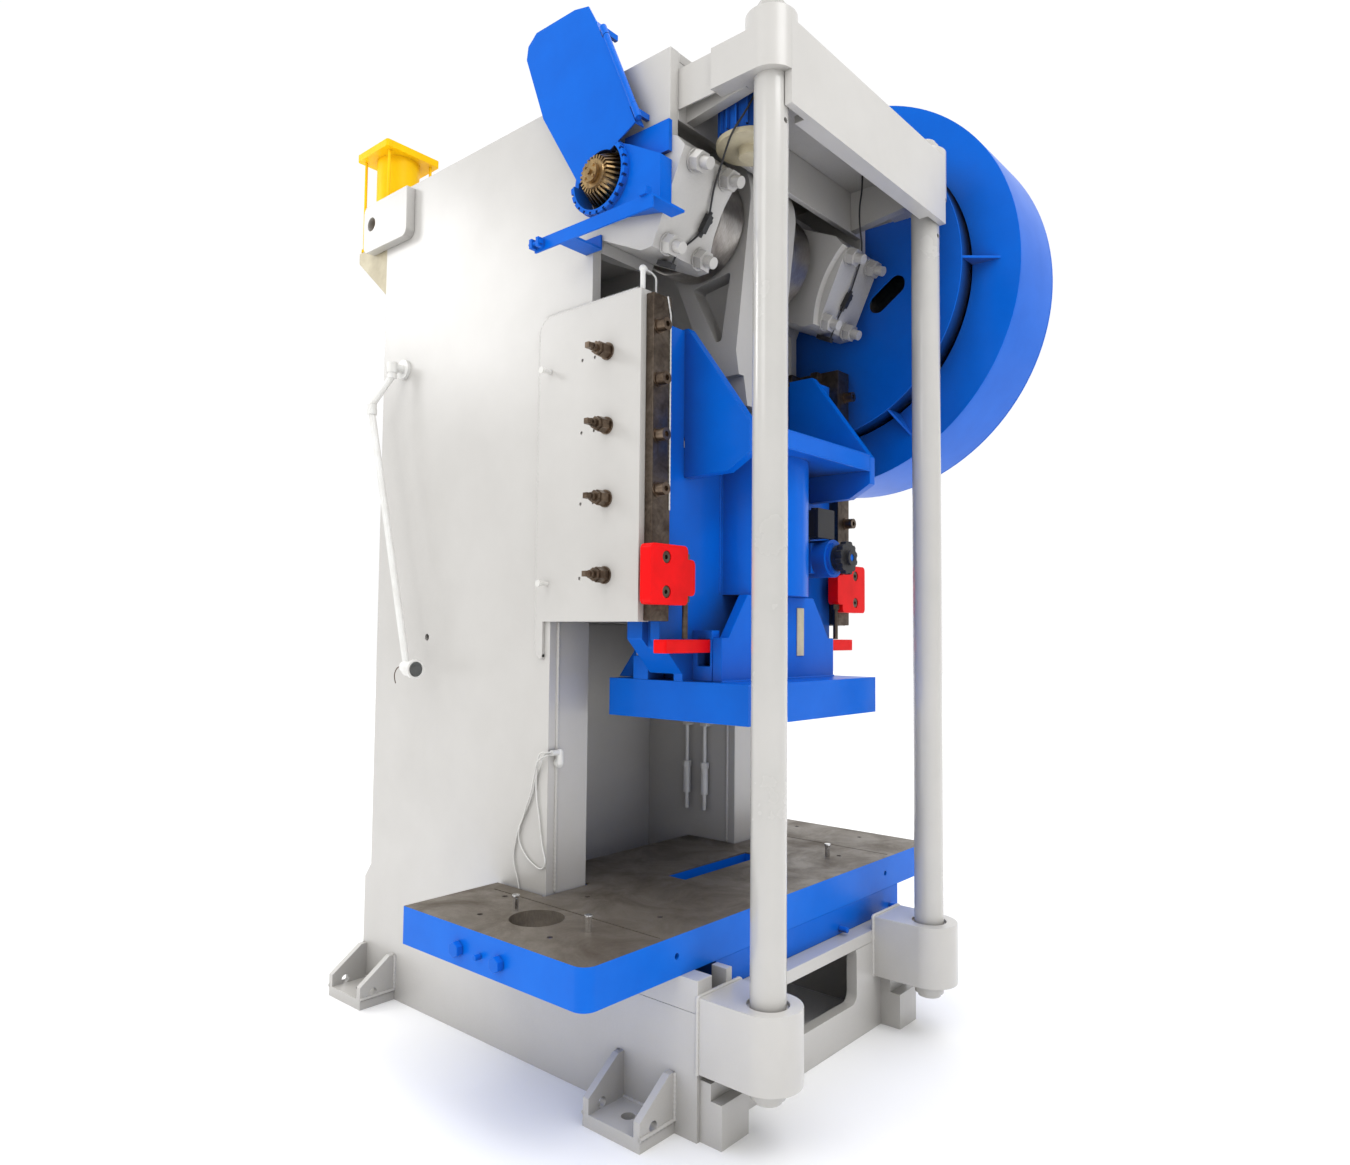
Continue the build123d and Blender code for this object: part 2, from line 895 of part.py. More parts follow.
def bearing_housing():
    """Fixed half of one crank bearing, leaning back from the split face."""
    outline = [lean(0, -housing_half), lean(0, housing_half), lean(-housing_back, housing_half),
               lean(-housing_back, -housing_half)]
    body = side_profile(outline, cap_inner_x, side_in)
    body -= crank_bore(cap_inner_x - over, side_in + over, bush_r)
    for out_x in (stud_x0, stud_x1):
        for down in (-stud_half, stud_half):
            body -= lean_bar(out_x, down, stud_r, -housing_back + stud_root, over)
    return body


def bearing_cap():
    """Removable bearing cap with cropped ends, a scalloped face and stud holes."""
    near, tall = cap_reach - cap_crop, cap_half - cap_crop / 2
    outline = [lean(0, -cap_half), lean(near, -cap_half), lean(cap_reach, -tall),
               lean(cap_reach, tall), lean(near, cap_half), lean(0, cap_half)]
    body = side_profile(outline, cap_inner_x, frame_half)
    body -= crank_bore(cap_inner_x - over, frame_half + over, bush_r)
    hollow = lean(cap_reach + scallop_r - scallop_deep, 0)
    body -= bar(*hollow, cap_inner_x - over, cap_inner_x + scallop_deep, scallop_r)
    for x in (stud_x0, stud_x1):
        for down in (-stud_half, stud_half):
            body -= lean_bar(x, down, stud_r, -over, cap_reach + over)
    return body


def cap_studs():
    """Eight studs, each with its nut and washer as one solid."""
    studs = []
    nut_from = cap_reach + nut_washer_t
    for side in (-1, 1):
        for x in (stud_x0, stud_x1):
            for down in (-stud_half, stud_half):
                stud = lean_bar(side * x, down, stud_r, -housing_back + stud_root,
                                nut_from + nut_t + stud_out)
                stud += lean_bar(side * x, down, nut_washer_r, cap_reach, nut_from)
                stud += lean_hex(side * x, down, nut_w, nut_from, nut_from + nut_t)
                tip = lean_bar(side * x, down, stud_r, nut_from + nut_t + stud_out - over,
                               nut_from + nut_t + stud_out)
                studs.append(stud + tip)
    return studs


def crank_bush():
    """Bronze bush of one crank bearing."""
    ring = crank_bore(cap_inner_x, frame_half, bush_r)
    return ring - crank_bore(cap_inner_x - over, frame_half + over, journal_r + run_gap)


# Feet, lugs, tie rods and crown

def foot(y):
    """Welded foot: base plate between two cropped gussets, with its anchor hole."""
    x0, x1 = frame_half, frame_half + foot_out
    y0, y1 = y - foot_len / 2, y + foot_len / 2
    body = block(x0, x1, y0, y1, 0, foot_t)
    outline = [(x0, foot_t), (x1, foot_t), (x1, foot_t + gusset_crop / 2),
               (x0 + gusset_t, foot_high), (x0, foot_high)]
    for side_y in (y0, y1 - gusset_t):
        rib = front_profile(outline, side_y, side_y + gusset_t)
        rib -= peg(x0 + foot_out * jack_share, foot_t + jack_hole_r, side_y - over,
                   side_y + gusset_t + over, jack_hole_r)
        body += rib
    return body - post(x0 + foot_out / 2, y, -over, foot_t + over, anchor_r)


def front_pad():
    """Cropped levelling pad welded to the front of the bed below each lug."""
    x1 = frame_half - front_pad_in
    outline = [(bed_front, 0), (bed_front, lug_low - 20), (bed_front - front_pad_deep / 2, lug_low - 20),
               (bed_front - front_pad_deep / 2, lug_low - 70), (bed_front - front_pad_deep, lug_low - 70),
               (bed_front - front_pad_deep, 0)]
    return side_profile(outline, x1 - front_pad_w, x1)


def lower_lug():
    """Solid lug on the bed front, rounded round the tie rod's foot."""
    body = block(rod_x - lug_r, rod_x + lug_r, rod_y, bed_front, lug_low, lug_high)
    body += post(rod_x, rod_y, lug_low, lug_high, lug_r)
    body -= post(rod_x, rod_y, lug_low - over, lug_high + over, shank_r + fit_gap)
    return body - post(rod_x, rod_y, lug_high - seat_deep, lug_high + over, rod_r + seat_wider)


def tie_rod():
    """Long front column with a shank through lug and boss, and a tapped lifting hole."""
    body = post(rod_x, rod_y, lug_high - seat_deep, boss_low, rod_r)
    low = lug_low - foot_nut_t - foot_step_t - thread_out
    body += post(rod_x, rod_y, low, boss_high + washer_t + cap_nut_t + thread_out / 2, shank_r)
    return body - peg(rod_x, boss_low - eye_hole_drop, rod_y - rod_r - over, rod_y - rod_r / 2,
                      eye_hole_r)


def tie_rod_nuts():
    """Top nuts with washers and stepped bottom nuts, on both rods."""
    pieces = []
    for x in (-rod_x, rod_x):
        top = post(x, rod_y, boss_high, boss_high + washer_t, cap_nut_w / 2 + washer_wider)
        top += hex_along("z", (x, rod_y, boss_high + washer_t + cap_nut_t / 2), cap_nut_w, cap_nut_t)
        low = post(x, rod_y, lug_low - foot_nut_t, lug_low, foot_nut_r)
        low += post(x, rod_y, lug_low - foot_nut_t - foot_step_t, lug_low - foot_nut_t, foot_step_r)
        hole = post(x, rod_y, 0, 2 * boss_high, shank_r + bore_fit)
        pieces += [top - hole, low - hole]
    return pieces


def crown_beam():
    """Front plate of the crown with a turned-in lower flange, relieved round the bosses."""
    half = rod_x + beam_past
    plate = block(-half, half, crown_front, crown_front + beam_t, crown_low, crown_high)
    plate += block(-flange_half, flange_half, crown_front, crown_front + flange_deep, crown_low,
                   crown_low + beam_t)
    for x in (-rod_x, rod_x):
        plate -= post(x, rod_y, boss_low, boss_high, boss_r)
    return plate


def crown_boss():
    """Boss round the top of a tie rod, with its arm reaching back."""
    x1 = rod_x + boss_r
    body = post(rod_x, rod_y, boss_low, boss_high, boss_r)
    body += block(x1 - arm_t, x1, rod_y, rod_y + arm_reach, boss_low, arm_high)
    return body - post(rod_x, rod_y, boss_low - over, boss_high + over, shank_r + fit_gap)


def crown_side():
    """Side plate from the boss back to the frame."""
    x1 = rod_x + boss_r - arm_t
    front = rod_y + boss_r
    outline = [(front, boss_low), (nose_front, boss_low - crown_side_rise), (nose_front, arm_high),
               (front, arm_high)]
    return side_profile(outline, x1 - side_t, x1)


def crown_deck():
    """Top plate of the crown, cut round both bosses."""
    half = rod_x + boss_r - arm_t
    plate = block(-half, half, crown_front + beam_t, nose_front, arm_high, arm_high + deck_t)
    for x in (-rod_x, rod_x):
        plate -= post(x, rod_y, arm_high - over, boss_high, boss_r)
    return plate


def lifting_lug():
    """Lifting lug on the rear top corner of a side plate."""
    y0, y1 = frame_rear - lifting_front, frame_rear + lifting_back
    z1 = frame_top - lifting_drop
    plate = block(frame_half, frame_half + lifting_t, y0, y1, z1 - lifting_h, z1)
    picked = [e for e in plate.edges().filter_by(Axis.X)
              if e.center().Z < z1 - over or e.center().Y > y1 - over]
    plate = fillet(picked, lifting_r)
    return plate - bar(y1 - lug_hole_in, frame_top - lug_hole_drop, frame_half - over,
                       frame_half + lifting_t + over, lug_hole_r)


# Bolster and its pieces

die_hole_x = -bolster_w / 2 + die_hole_in
bolster_low = bolster_top - bolster_t
clamp_holes = [(x, clamp_front + row * clamp_pitch) for x in (-clamp_x, clamp_x) for row in (0, 1)]
other_holes = [(side * (x - bolster_w / 2), y) for side in (-1, 1) for x, y in loose_holes]


def bolster():
    """Bolster plate, notched round both uprights, with die hole, slot and grooves."""
    front, back = bolster_front, bolster_front + bolster_d
    half = bolster_w / 2
    plate = block(-half, half, front, back, bolster_low, bolster_top)
    corners = [e for e in plate.edges().filter_by(Axis.Z) if e.center().Y < front + over]
    plate = fillet(corners, bolster_corner)
    notch = block(upright_inner - notch_gap, frame_half + notch_gap, throat_face - notch_gap,
                  back + over, bolster_low - over, bolster_top + over)
    plate -= notch + mirrored(notch)
    plate -= post(die_hole_x, front + die_hole_back, bolster_low - over, bolster_top + over, die_hole_r)
    plate -= slot_cut(0, bolster_low - over, bolster_top + over)
    for x in (groove_in - half, half - groove_in):
        plate -= block(x - groove_w / 2, x + groove_w / 2, front + groove_front, back - groove_rear,
                       bolster_top - groove_deep, bolster_top + over)
    for x, y in clamp_holes + other_holes:
        plate -= post(x, front + y, bolster_top - tapped_deep, bolster_top + over, tapped_r)
    for x in (front_hole_in - half, half - front_hole_in):
        plate -= peg(x, bolster_top - bolster_t / 2, front - over, front + front_hole_deep, tapped_r)
    return plate


def bolster_pins():
    """Loose chromed locating pins standing on the bolster."""
    pieces = []
    for x, y in pin_spots:
        at = (x - bolster_w / 2, bolster_front + y)
        pin = post(*at, bolster_top, bolster_top + pin_high, pin_r)
        pieces.append(pin + post(*at, bolster_top + pin_high - pin_head, bolster_top + pin_high,
                                 pin_head_r))
    return pieces


def bolster_bolts():
    """Hex bolts and dowels in the bolster's ends and the riser's front."""
    z = bolster_top - end_bolt_drop
    pieces = []
    for side in (-1, 1):
        end = side * bolster_w / 2
        for back in end_bolt_back:
            head = hex_along("x", (end + side * end_bolt_t / 2, bolster_front + back, z), end_bolt_w,
                             end_bolt_t)
            pieces.append(head)
        pieces.append(rod_along("x", (end + side * end_bolt_t / 2, bolster_front + end_dowel_back, z),
                                end_dowel_r, end_bolt_t))
    for x in riser_bolt_x:
        pieces.append(peg(x, bed_top + 2 * riser_bolt_r, bolster_front - riser_bolt_out, bolster_front,
                          riser_bolt_r))
    return pieces


def riser():
    """Blue riser plate between bed and bolster."""
    plate = block(riser_left, riser_right, bolster_front, throat_face - notch_gap, bed_top,
                  bolster_low)
    return plate - slot_cut(riser_slot_margin, bed_top - over, bolster_low + over)


def bolster_rest():
    """Grey support bar under the left wing of the bolster."""
    return block(-frame_half, -frame_half + rest_w, bed_front, throat_face - notch_gap, bed_top,
                 bolster_low)


def riser_stop():
    """Upright bar that locates the riser's left end."""
    x1 = riser_left - stop_bar_gap
    return block(x1 - stop_bar_w, x1, bed_front, bed_front + stop_bar_d, bed_top, bolster_low)


# Crankshaft and its gears

def web_disc(x0, x1):
    """Crank web with chamfered rims."""
    disc = crank_bore(x0, x1, web_r)
    return chamfer(disc.edges().filter_by(GeomType.CIRCLE), web_edge)


def crankshaft():
    """One-throw crankshaft from the bevel gear seat to the bull gear seat."""
    body = crank_bore(-bevel_in, -web_in - over, journal_r)
    body += crank_bore(web_in + over, gear_x1 + gear_stub, journal_r)
    body += web_disc(-web_out, -web_in) + web_disc(web_in, web_out)
    body += bar(crank_y, pin_z, -web_in - over, web_in + over, crank_pin_r)
    shoulder = crank_bore(web_out, cap_inner_x - shoulder_gap, journal_r + shoulder_extra)
    body += shoulder + mirrored(shoulder)
    return body + crank_bore(-bevel_out - over, -bevel_in, bevel_bore)


def hub_ring():
    """Dark steel distance ring between the bush and the bevel gear."""
    return crank_bore(-bevel_in, -frame_half - shoulder_gap, journal_r + ring_extra) - crank_bore(
        -bevel_in - over, -frame_half, journal_r)


def bevel_gear():
    """Bronze bevel gear that drives the cam box, with its hub screws."""
    back_r, front_r = bevel_r0 - tooth_deep, bevel_r1 - tooth_deep
    rim = Pos(-(bevel_in + bevel_out) / 2, crank_y, crank_z) * Rot(0, -90, 0) * Cone(
        back_r + 5, front_r + 7, bevel_w)
    tooth_line = [(-bevel_in, back_r), (-bevel_in, bevel_r0), (-bevel_in - 12, bevel_r0 + 2),
                  (-bevel_out + 6, bevel_r1), (-bevel_out + 6, front_r + 4)]
    tooth = front_profile(tooth_line, -tooth_half, tooth_half)
    for step in range(bevel_teeth):
        rim += Pos(0, crank_y, crank_z) * Rot(360 * step / bevel_teeth, 0, 0) * tooth
    rim -= crank_bore(-bevel_out - over, -bevel_in + over, bevel_bore)
    hub = crank_bore(-bevel_out - 14, -bevel_out - over, hub_step_r + 8)
    rim += hub + crank_bore(-bevel_out - 22, -bevel_out - 14, hub_end_r)
    for y, z in ring_spots(hub_screws, hub_step_r, 45):
        rim += bar(y, z, -bevel_out - 18, -bevel_out - 12, hub_screw_r)
    return rim


def bull_gear():
    """Bull gear with trapezoid teeth, a thin web and six round openings."""
    module_r = gear_module * gear_teeth / 2
    root_r, tip_r = module_r - 1.25 * gear_module, module_r + gear_module
    flank = ((-0.27, root_r), (-0.12, tip_r), (0.12, tip_r), (0.27, root_r))
    points = []
    for step in range(gear_teeth):
        for share, r in flank:
            angle = 2 * pi * (step + share) / gear_teeth
            points.append((crank_y + r * cos(angle), crank_z + r * sin(angle)))
    body = side_profile(points, gear_x0, gear_x1)
    body -= crank_bore(gear_x0 - over, gear_x1 + over, root_r - gear_rim)
    body += crank_bore(gear_x0 + gear_recess, gear_x1 - gear_recess, root_r - gear_rim + over)
    body += crank_bore(gear_x0 - gear_hub_out, gear_x1 + gear_hub_out, journal_r + gear_hub_wall)
    body -= crank_bore(gear_x0 - gear_hub_out - over, gear_x1 + gear_hub_out + over, journal_r)
    for y, z in ring_spots(gear_holes, gear_hole_ring, 30):
        body -= bar(y, z, gear_x0 - over, gear_x1 + over, gear_hole_r)
    return body


# Connecting rod

rod_lean = atan2(crank_y - (slide_y - ball_shift), pin_z - ball_z)
rod_length = sqrt((crank_y - slide_y + ball_shift) ** 2 + (pin_z - ball_z) ** 2)


def on_rod(along, across):
    """(y, z) of a point given from the crank pin along the rod and across it, front positive."""
    y = crank_y - along * sin(rod_lean) - across * cos(rod_lean)
    z = pin_z - along * cos(rod_lean) + across * sin(rod_lean)
    return (y, z)


def connecting_rod():
    """Wedge-shaped cast rod with a round big end, waisted pockets and a ribbed flank."""
    turn = asin((big_r - neck_half) / neck_along)
    touch, rise = big_r * sin(turn), big_r * cos(turn)
    wedge = [on_rod(touch, -rise), on_rod(neck_along, -neck_half), on_rod(neck_end, -neck_half),
             on_rod(neck_end, neck_half), on_rod(neck_along, neck_half), on_rod(touch, rise)]
    body = side_profile(wedge, -con_half, con_half)
    body += bar(crank_y, pin_z, -con_half, con_half, big_r)
    top, tip = big_r + pocket_top, neck_along - pocket_top
    hollow = [on_rod(top, -pocket_half), on_rod(top, pocket_half), on_rod(tip, pocket_tip),
              on_rod(tip, -pocket_tip)]
    pocket = side_profile(hollow, con_half - pocket_deep, con_half + over)
    pocket = fillet(pocket.edges().filter_by(Axis.X), pocket_r)
    body -= pocket + mirrored(pocket)
    for along in rod_hole_along:
        body -= bar(*on_rod(along, rod_hole_in - neck_half), -con_half - over, con_half + over,
                    rod_hole_r)
    body -= bar(crank_y, pin_z, -con_half - over, con_half + over, crank_pin_r + run_gap)
    waist = block(neck_x, con_half + over, slide_y - 2 * big_r, slide_y + 2 * big_r, 0,
                  ball_z + waist_over)
    return body - (waist + mirrored(waist))


def ball_screw():
    """Threaded die-height screw with its clamp collar, ball end and lock nut."""
    y0, z0 = on_rod(neck_end, 0)
    upper = Plane(origin=(0, y0, z0), z_dir=(0, -sin(rod_lean), -cos(rod_lean)))
    length = rod_length - neck_end
    body = upper * Pos(0, 0, length / 2) * Cylinder(screw_r, length)
    for ring in range(thread_rings):
        body += upper * Pos(0, 0, thread_start + ring * thread_pitch) * Cylinder(
            screw_r + thread_extra, thread_t)
    return body + Pos(0, slide_y - ball_shift, ball_z) * Sphere(ball_r)


# Ram

def slide_body():
    """Ram body: barrel for the ball, webs, guide flanges and back ribs as one casting."""
    body = block(-plate_half, plate_half, flange_front, flange_front + slide_web_t, plate_high,
                 shelf_low)
    flange = front_profile([(plate_half, plate_high + flange_foot),
                            (body_half, plate_high + flange_foot + flange_rise),
                            (body_half, body_top), (plate_half, body_top)],
                           flange_front, flange_front + flange_t)
    flange -= block(body_half - tongue_in, body_half + over, tongue_y0 - guide_gap,
                    tongue_y1 + guide_gap, plate_high, body_top + over)
    rib = side_profile([(flange_front, plate_high), (plate_rear + rib_toe, plate_high),
                        (flange_front + flange_t, plate_high + rib_rise),
                        (flange_front + flange_t, shelf_low), (flange_front, shelf_low)],
                       rib_x - rib_t / 2, rib_x + rib_t / 2)
    body += flange + rib + mirrored(flange) + mirrored(rib)
    body += post(0, slide_y, barrel_low, shelf_low + shelf_t, barrel_r)
    return body - post(0, slide_y, barrel_low + barrel_floor, shelf_low + shelf_t + over,
                       barrel_hole_r)


def slide_plate():
    """Bottom plate of the ram with clamping holes and a centre bore on its underside."""
    plate = block(-plate_half, plate_half, plate_front, plate_rear, plate_low, plate_high)
    for x in clamp_cols:
        for row in clamp_rows:
            if abs(x) > 2 * shank_bore_r + tapped_r + clamp_deep or row:
                plate -= post(x, slide_y + row, plate_low - over, plate_low + clamp_deep, tapped_r)
    return plate - post(0, slide_y, plate_low - over, plate_low + shank_bore_deep, shank_bore_r)


def slide_front_plate():
    """Tapering front plate of the ram, with a small brace at each side of the barrel."""
    foot_x, step_x = plate_half - front_foot_in, plate_half - front_step_in
    step_z = plate_high + front_foot_h
    side_line = [(foot_x, plate_high), (foot_x, step_z), (step_x, step_z),
                 (front_top_half, barrel_low)]
    points = [(-x, z) for x, z in side_line] + list(reversed(side_line))
    plate = front_profile(points, front_plate_y, front_plate_y + cheek_t)
    brace = front_profile([(brace_out, barrel_low), (brace_in, barrel_low + brace_high),
                           (brace_flat, barrel_low + brace_high), (brace_flat, barrel_low)],
                          front_plate_y, front_plate_y + cheek_t / 2)
    brace -= post(0, slide_y, barrel_low - over, barrel_low + brace_high + over, barrel_r)
    return plate + brace + mirrored(brace)


def slide_shelf():
    """Horizontal shelf between the cheeks, round the top of the barrel."""
    half = plate_half - cheek_t
    plate = block(-half, half, plate_front, flange_front, shelf_low, shelf_low + shelf_t)
    return plate - post(0, slide_y, shelf_low - over, shelf_low + shelf_t + over, barrel_r)


def slide_cheek():
    """Cropped cheek plate beside the connecting rod."""
    rear = flange_front + cheek_deep
    outline = [(flange_front, shelf_low), (flange_front, shelf_low + cheek_step),
               (rear, shelf_low + cheek_step), (rear, cheek_top), (flange_front - cheek_lip, cheek_top),
               (plate_front, shelf_low + 55), (plate_front, shelf_low - 51),
               (plate_front + 93, cheek_low + 3), (flange_front, cheek_low)]
    return side_profile(outline, plate_half - cheek_t, plate_half)


def ball_seat():
    """Bronze thrust block at the bottom of the barrel."""
    low = barrel_low + barrel_floor
    disc = post(0, slide_y, low, low + seat_high, seat_r)
    return disc - Pos(0, slide_y, low + seat_high + seat_cup_up) * Sphere(seat_cup_r)


def knockout_bar():
    """Cross bar that pushes the work out of the upper die."""
    body = block(-bar_half, bar_half, bar_y0, bar_y1, bar_low, bar_high)
    return fillet(body.edges().filter_by(Axis.Z), bar_r)


def bar_guide():
    """Slotted block on the ram that carries the knock-out bar."""
    piece = block(guide_x - guide_half, guide_x + guide_half, front_plate_y + cheek_t, flange_front,
                  plate_high, bar_high + guide_over)
    return piece - block(guide_x - guide_half - over, guide_x + guide_half + over, bar_y0 - bar_play,
                         bar_y1 + bar_play, bar_low - bar_drop - over, bar_high + bar_play)


def stop_bracket():
    """Stop block bolted to the gib, with a lobe for the stop screw."""
    x0, x1 = frame_half - block_in, frame_half + block_out
    y1 = block_y0 + block_t
    z1 = block_low + block_h
    body = block(x0, x1, block_y0, y1, block_low, z1)
    body += block(frame_half - lobe_in, x0, block_y0, y1, block_low + lobe_low,
                  block_low + lobe_low + lobe_h)
    picked = [e for e in body.edges().filter_by(Axis.Y)
              if e.center().X > x1 - over or e.center().X < frame_half - lobe_in + over
              or (abs(e.center().X - x0) < over
                  and (e.center().Z > z1 - over or e.center().Z < block_low + over))]
    body = fillet(picked, block_r)
    for up in block_hole_up:
        at = (frame_half - block_hole_in, block_low + up)
        body -= peg(*at, block_y0 - over, block_y0 + socket_t + 3, socket_r + 2)
        body -= peg(*at, block_y0, y1 + over, socket_shank_r + over)
    return body - post(stop_x, stop_y, block_low, z1, stop_r + stop_fit)


def stop_bolts():
    """Socket screws of the stop blocks and their chromed stop screws."""
    pieces = []
    lobe = block_low + lobe_low
    for side in (-1, 1):
        x = side * (frame_half - block_hole_in)
        head_y = block_y0 + 3
        for up in block_hole_up:
            z = block_low + up
            head = peg(x, z, head_y, head_y + socket_t, socket_r)
            head -= hex_along("y", (x, head_y + 2, z), socket_hex, socket_hex)
            pieces.append(head + peg(x, z, head_y + socket_t, block_y0 + block_t, socket_shank_r))
        x = side * stop_x
        screw = post(x, stop_y, bar_high + stop_gap, block_low + block_h - stop_r, stop_r)
        for z in (lobe - stop_nut_t / 2, lobe + lobe_h + stop_nut_t / 2):
            screw += hex_along("z", (x, stop_y, z), stop_nut_w, stop_nut_t)
        pieces.append(screw)
    return pieces


# Guides

def gib():
    """Guide strip with front lip, tongue and rear lip, full height of the head."""
    inner = body_half + guide_gap
    lip_y = flange_front + flange_t + guide_gap
    rear_y = lip_y + rear_lip_t
    body = block(inner, gib_x1, head_front - gib_t, head_front, gib_low, gib_top)
    body += block(inner, side_in, head_front, rear_y, gib_low, gib_top)
    body += block(inner - tongue_in, inner, tongue_y0, tongue_y1, gib_low, gib_top)
    return body + block(body_half - rear_lip_in, side_in, lip_y, rear_y, gib_low, gib_top)


def gib_bolts():
    """Dark cap screws down the front of both gibs."""
    face = head_front - gib_t
    pieces = []
    for x in (gib_bolt_in - gib_x1, gib_x1 - gib_bolt_in):
        for up in gib_bolt_up:
            z = gib_low + up
            head = peg(x, z, face - gib_bolt_t, face, gib_bolt_r)
            head -= hex_along("y", (x, face - gib_bolt_t, z), gib_bolt_hex, gib_bolt_hex)
            pieces.append(head + peg(x, z, face - gib_washer_t, face, gib_washer_r))
    return pieces


def gib_screw(side, z):
    """One adjusting screw through the side of the head, square-ended where there is room."""
    face = frame_half + pad_t
    reach = screw_reach_left if side < 0 else screw_reach_right
    end = face + reach
    screw = bar(screw_y, z, side_in, end, screw_shank_r - screw_fit)
    screw += bar(screw_y, z, face, face + screw_washer_t, screw_washer_r)
    middle = face + screw_washer_t + reach / 4
    screw += hex_along("x", (middle, screw_y, z), screw_nut_w, reach / 2)
    if side < 0:
        locked = middle + reach / 4
        screw += hex_along("x", (locked + lock_nut_t / 2, screw_y, z), lock_nut_w, lock_nut_t)
        screw += block(end - over, end + square_t, screw_y - square_w / 2, screw_y + square_w / 2,
                       z - square_w / 2, z + square_w / 2)
        screw = mirrored(screw)
    return screw


def stub_pin(side, z):
    """Plain stub pin behind the adjusting screws."""
    reach = stub_reach_left if side < 0 else stub_reach_right
    end = frame_half + reach
    pin = bar(stub_y, z, frame_half - stub_root, end, stub_r - screw_fit)
    pin += bar(stub_y, z, end - stub_head / 2, end + stub_head / 2, stub_r + stub_head_extra)
    return mirrored(pin) if side < 0 else pin


# Adjuster, switch box and small plates on the ram

knob_back = adjust_front - neck_disc_t - knob_gap
rim_back = knob_back - knob_hub_t
knob_front = rim_back - knob_rim_t - knob_end_t


def adjuster_box():
    """Worm gear housing of the die-height adjuster on the front of the ram."""
    body = peg(adjust_x, adjust_z, adjust_front, flange_front, adjust_r)
    body += block(adjust_x - foot_left, adjust_x + foot_right, foot_front, flange_front,
                  adjust_z - foot_half, adjust_z + foot_half)
    body += peg(adjust_x, adjust_z, adjust_front - neck_disc_t, adjust_front, neck_disc_r)
    return body + peg(adjust_x, adjust_z, adjust_front - neck_disc_t - knob_pin_out, adjust_front,
                      knob_pin_r)


def adjuster_knob():
    """Stepped hand knob with a fluted rim."""
    knob = peg(adjust_x, adjust_z, rim_back, knob_back, knob_hub_r)
    rim = peg(adjust_x, adjust_z, rim_back - knob_rim_t, rim_back, knob_rim_r)
    for step in range(knob_flutes):
        angle = 2 * pi * step / knob_flutes
        rim -= peg(adjust_x + flute_ring * cos(angle), adjust_z + flute_ring * sin(angle),
                   rim_back - knob_rim_t - over, rim_back + over, flute_r)
    knob += rim + peg(adjust_x, adjust_z, knob_front, knob_front + knob_end_t, knob_end_r)
    return knob - peg(adjust_x, adjust_z, knob_front - over, knob_back + over, knob_pin_r + run_gap)


def switch_box():
    """Small dark connection box above the adjuster, with a lid and cable glands."""
    low = plate_high + box_up
    high = low + box_h
    x1 = box_x0 + box_w
    box = block(box_x0, x1, box_front, flange_front, low, high)
    box += block(box_x0 - lid_over, x1 + lid_over, box_front - lid_t, box_front, low - lid_over,
                 high + lid_over)
    middle = (box_front + flange_front) / 2
    box += post(box_x0 + gland_in, middle, low - 1.5 * gland_r, low, gland_r)
    return box + post(x1 - gland_in, middle, high, high + 1.5 * gland_r, gland_r)


def scale_plate():
    """Bare cream plate on the ram's front plate."""
    low = plate_high + scale_up
    return block(scale_x0, scale_x0 + scale_w, front_plate_y - scale_t, front_plate_y, low,
                 low + scale_h)


def limit_bracket():
    """Blue bracket behind the left end of the knock-out bar."""
    y0 = slide_y + limit_back
    body = block(-plate_half, limit_w - plate_half, y0, y0 + limit_d, plate_high, plate_high + limit_h)
    return body + block(-plate_half, limit_toe_w - plate_half, y0 - limit_toe, y0, plate_high,
                        plate_high + limit_toe_h)


def limit_block():
    """Cream cam block on the blue bracket."""
    x0 = cam_in - plate_half
    y0 = slide_y + limit_back + (limit_d - cam_d) / 2
    low = plate_high + limit_h
    body = block(x0, x0 + cam_w, y0, y0 + cam_d, low, low + cam_h)
    return fillet(body.edges().filter_by(Axis.Y), cam_r)


def limit_nut():
    """Plated screw and nut in front of the limit bracket."""
    z = plate_high + limit_nut_up
    x = limit_toe_w / 2 - plate_half
    face = slide_y + limit_back - limit_toe
    nut_y = face - limit_nut_w / 2
    return peg(x, z, nut_y - limit_nut_w / 4, face, end_dowel_r) + hex_along(
        "y", (x, nut_y - limit_nut_w / 4, z), limit_nut_w, limit_nut_w / 2)


# Bevel gear casing, guard and sensor arm on the left bearing

cover_lean = radians(hinge_lean)
hinge_y = crank_y - hinge_front
hinge_z = crank_z + hinge_up


def along_hinge(length, off=0.0):
    """(y, z) of a point up the cover's front edge, moved back by off."""
    y = hinge_y + length * sin(cover_lean) + off * cos(cover_lean)
    z = hinge_z + length * cos(cover_lean) - off * sin(cover_lean)
    return (y, z)


def gear_casing():
    """Blue casing behind the bevel gear, open to the left."""
    outline = [(crank_y, crank_z + casing_r)]
    outline += [(crank_y - front, crank_z - down) for front, down in casing_line]
    body = side_profile(outline, -casing_out, -frame_half)
    body += crank_bore(-casing_out, -frame_half, casing_r)
    front = crank_y - casing_line[1][0]
    low = crank_z + ledge_low
    body += block(-frame_half - ledge_t, -frame_half, front, front + ledge_d, low, low + ledge_h)
    return body - crank_bore(-casing_out - over, -frame_half + over, ring_r)


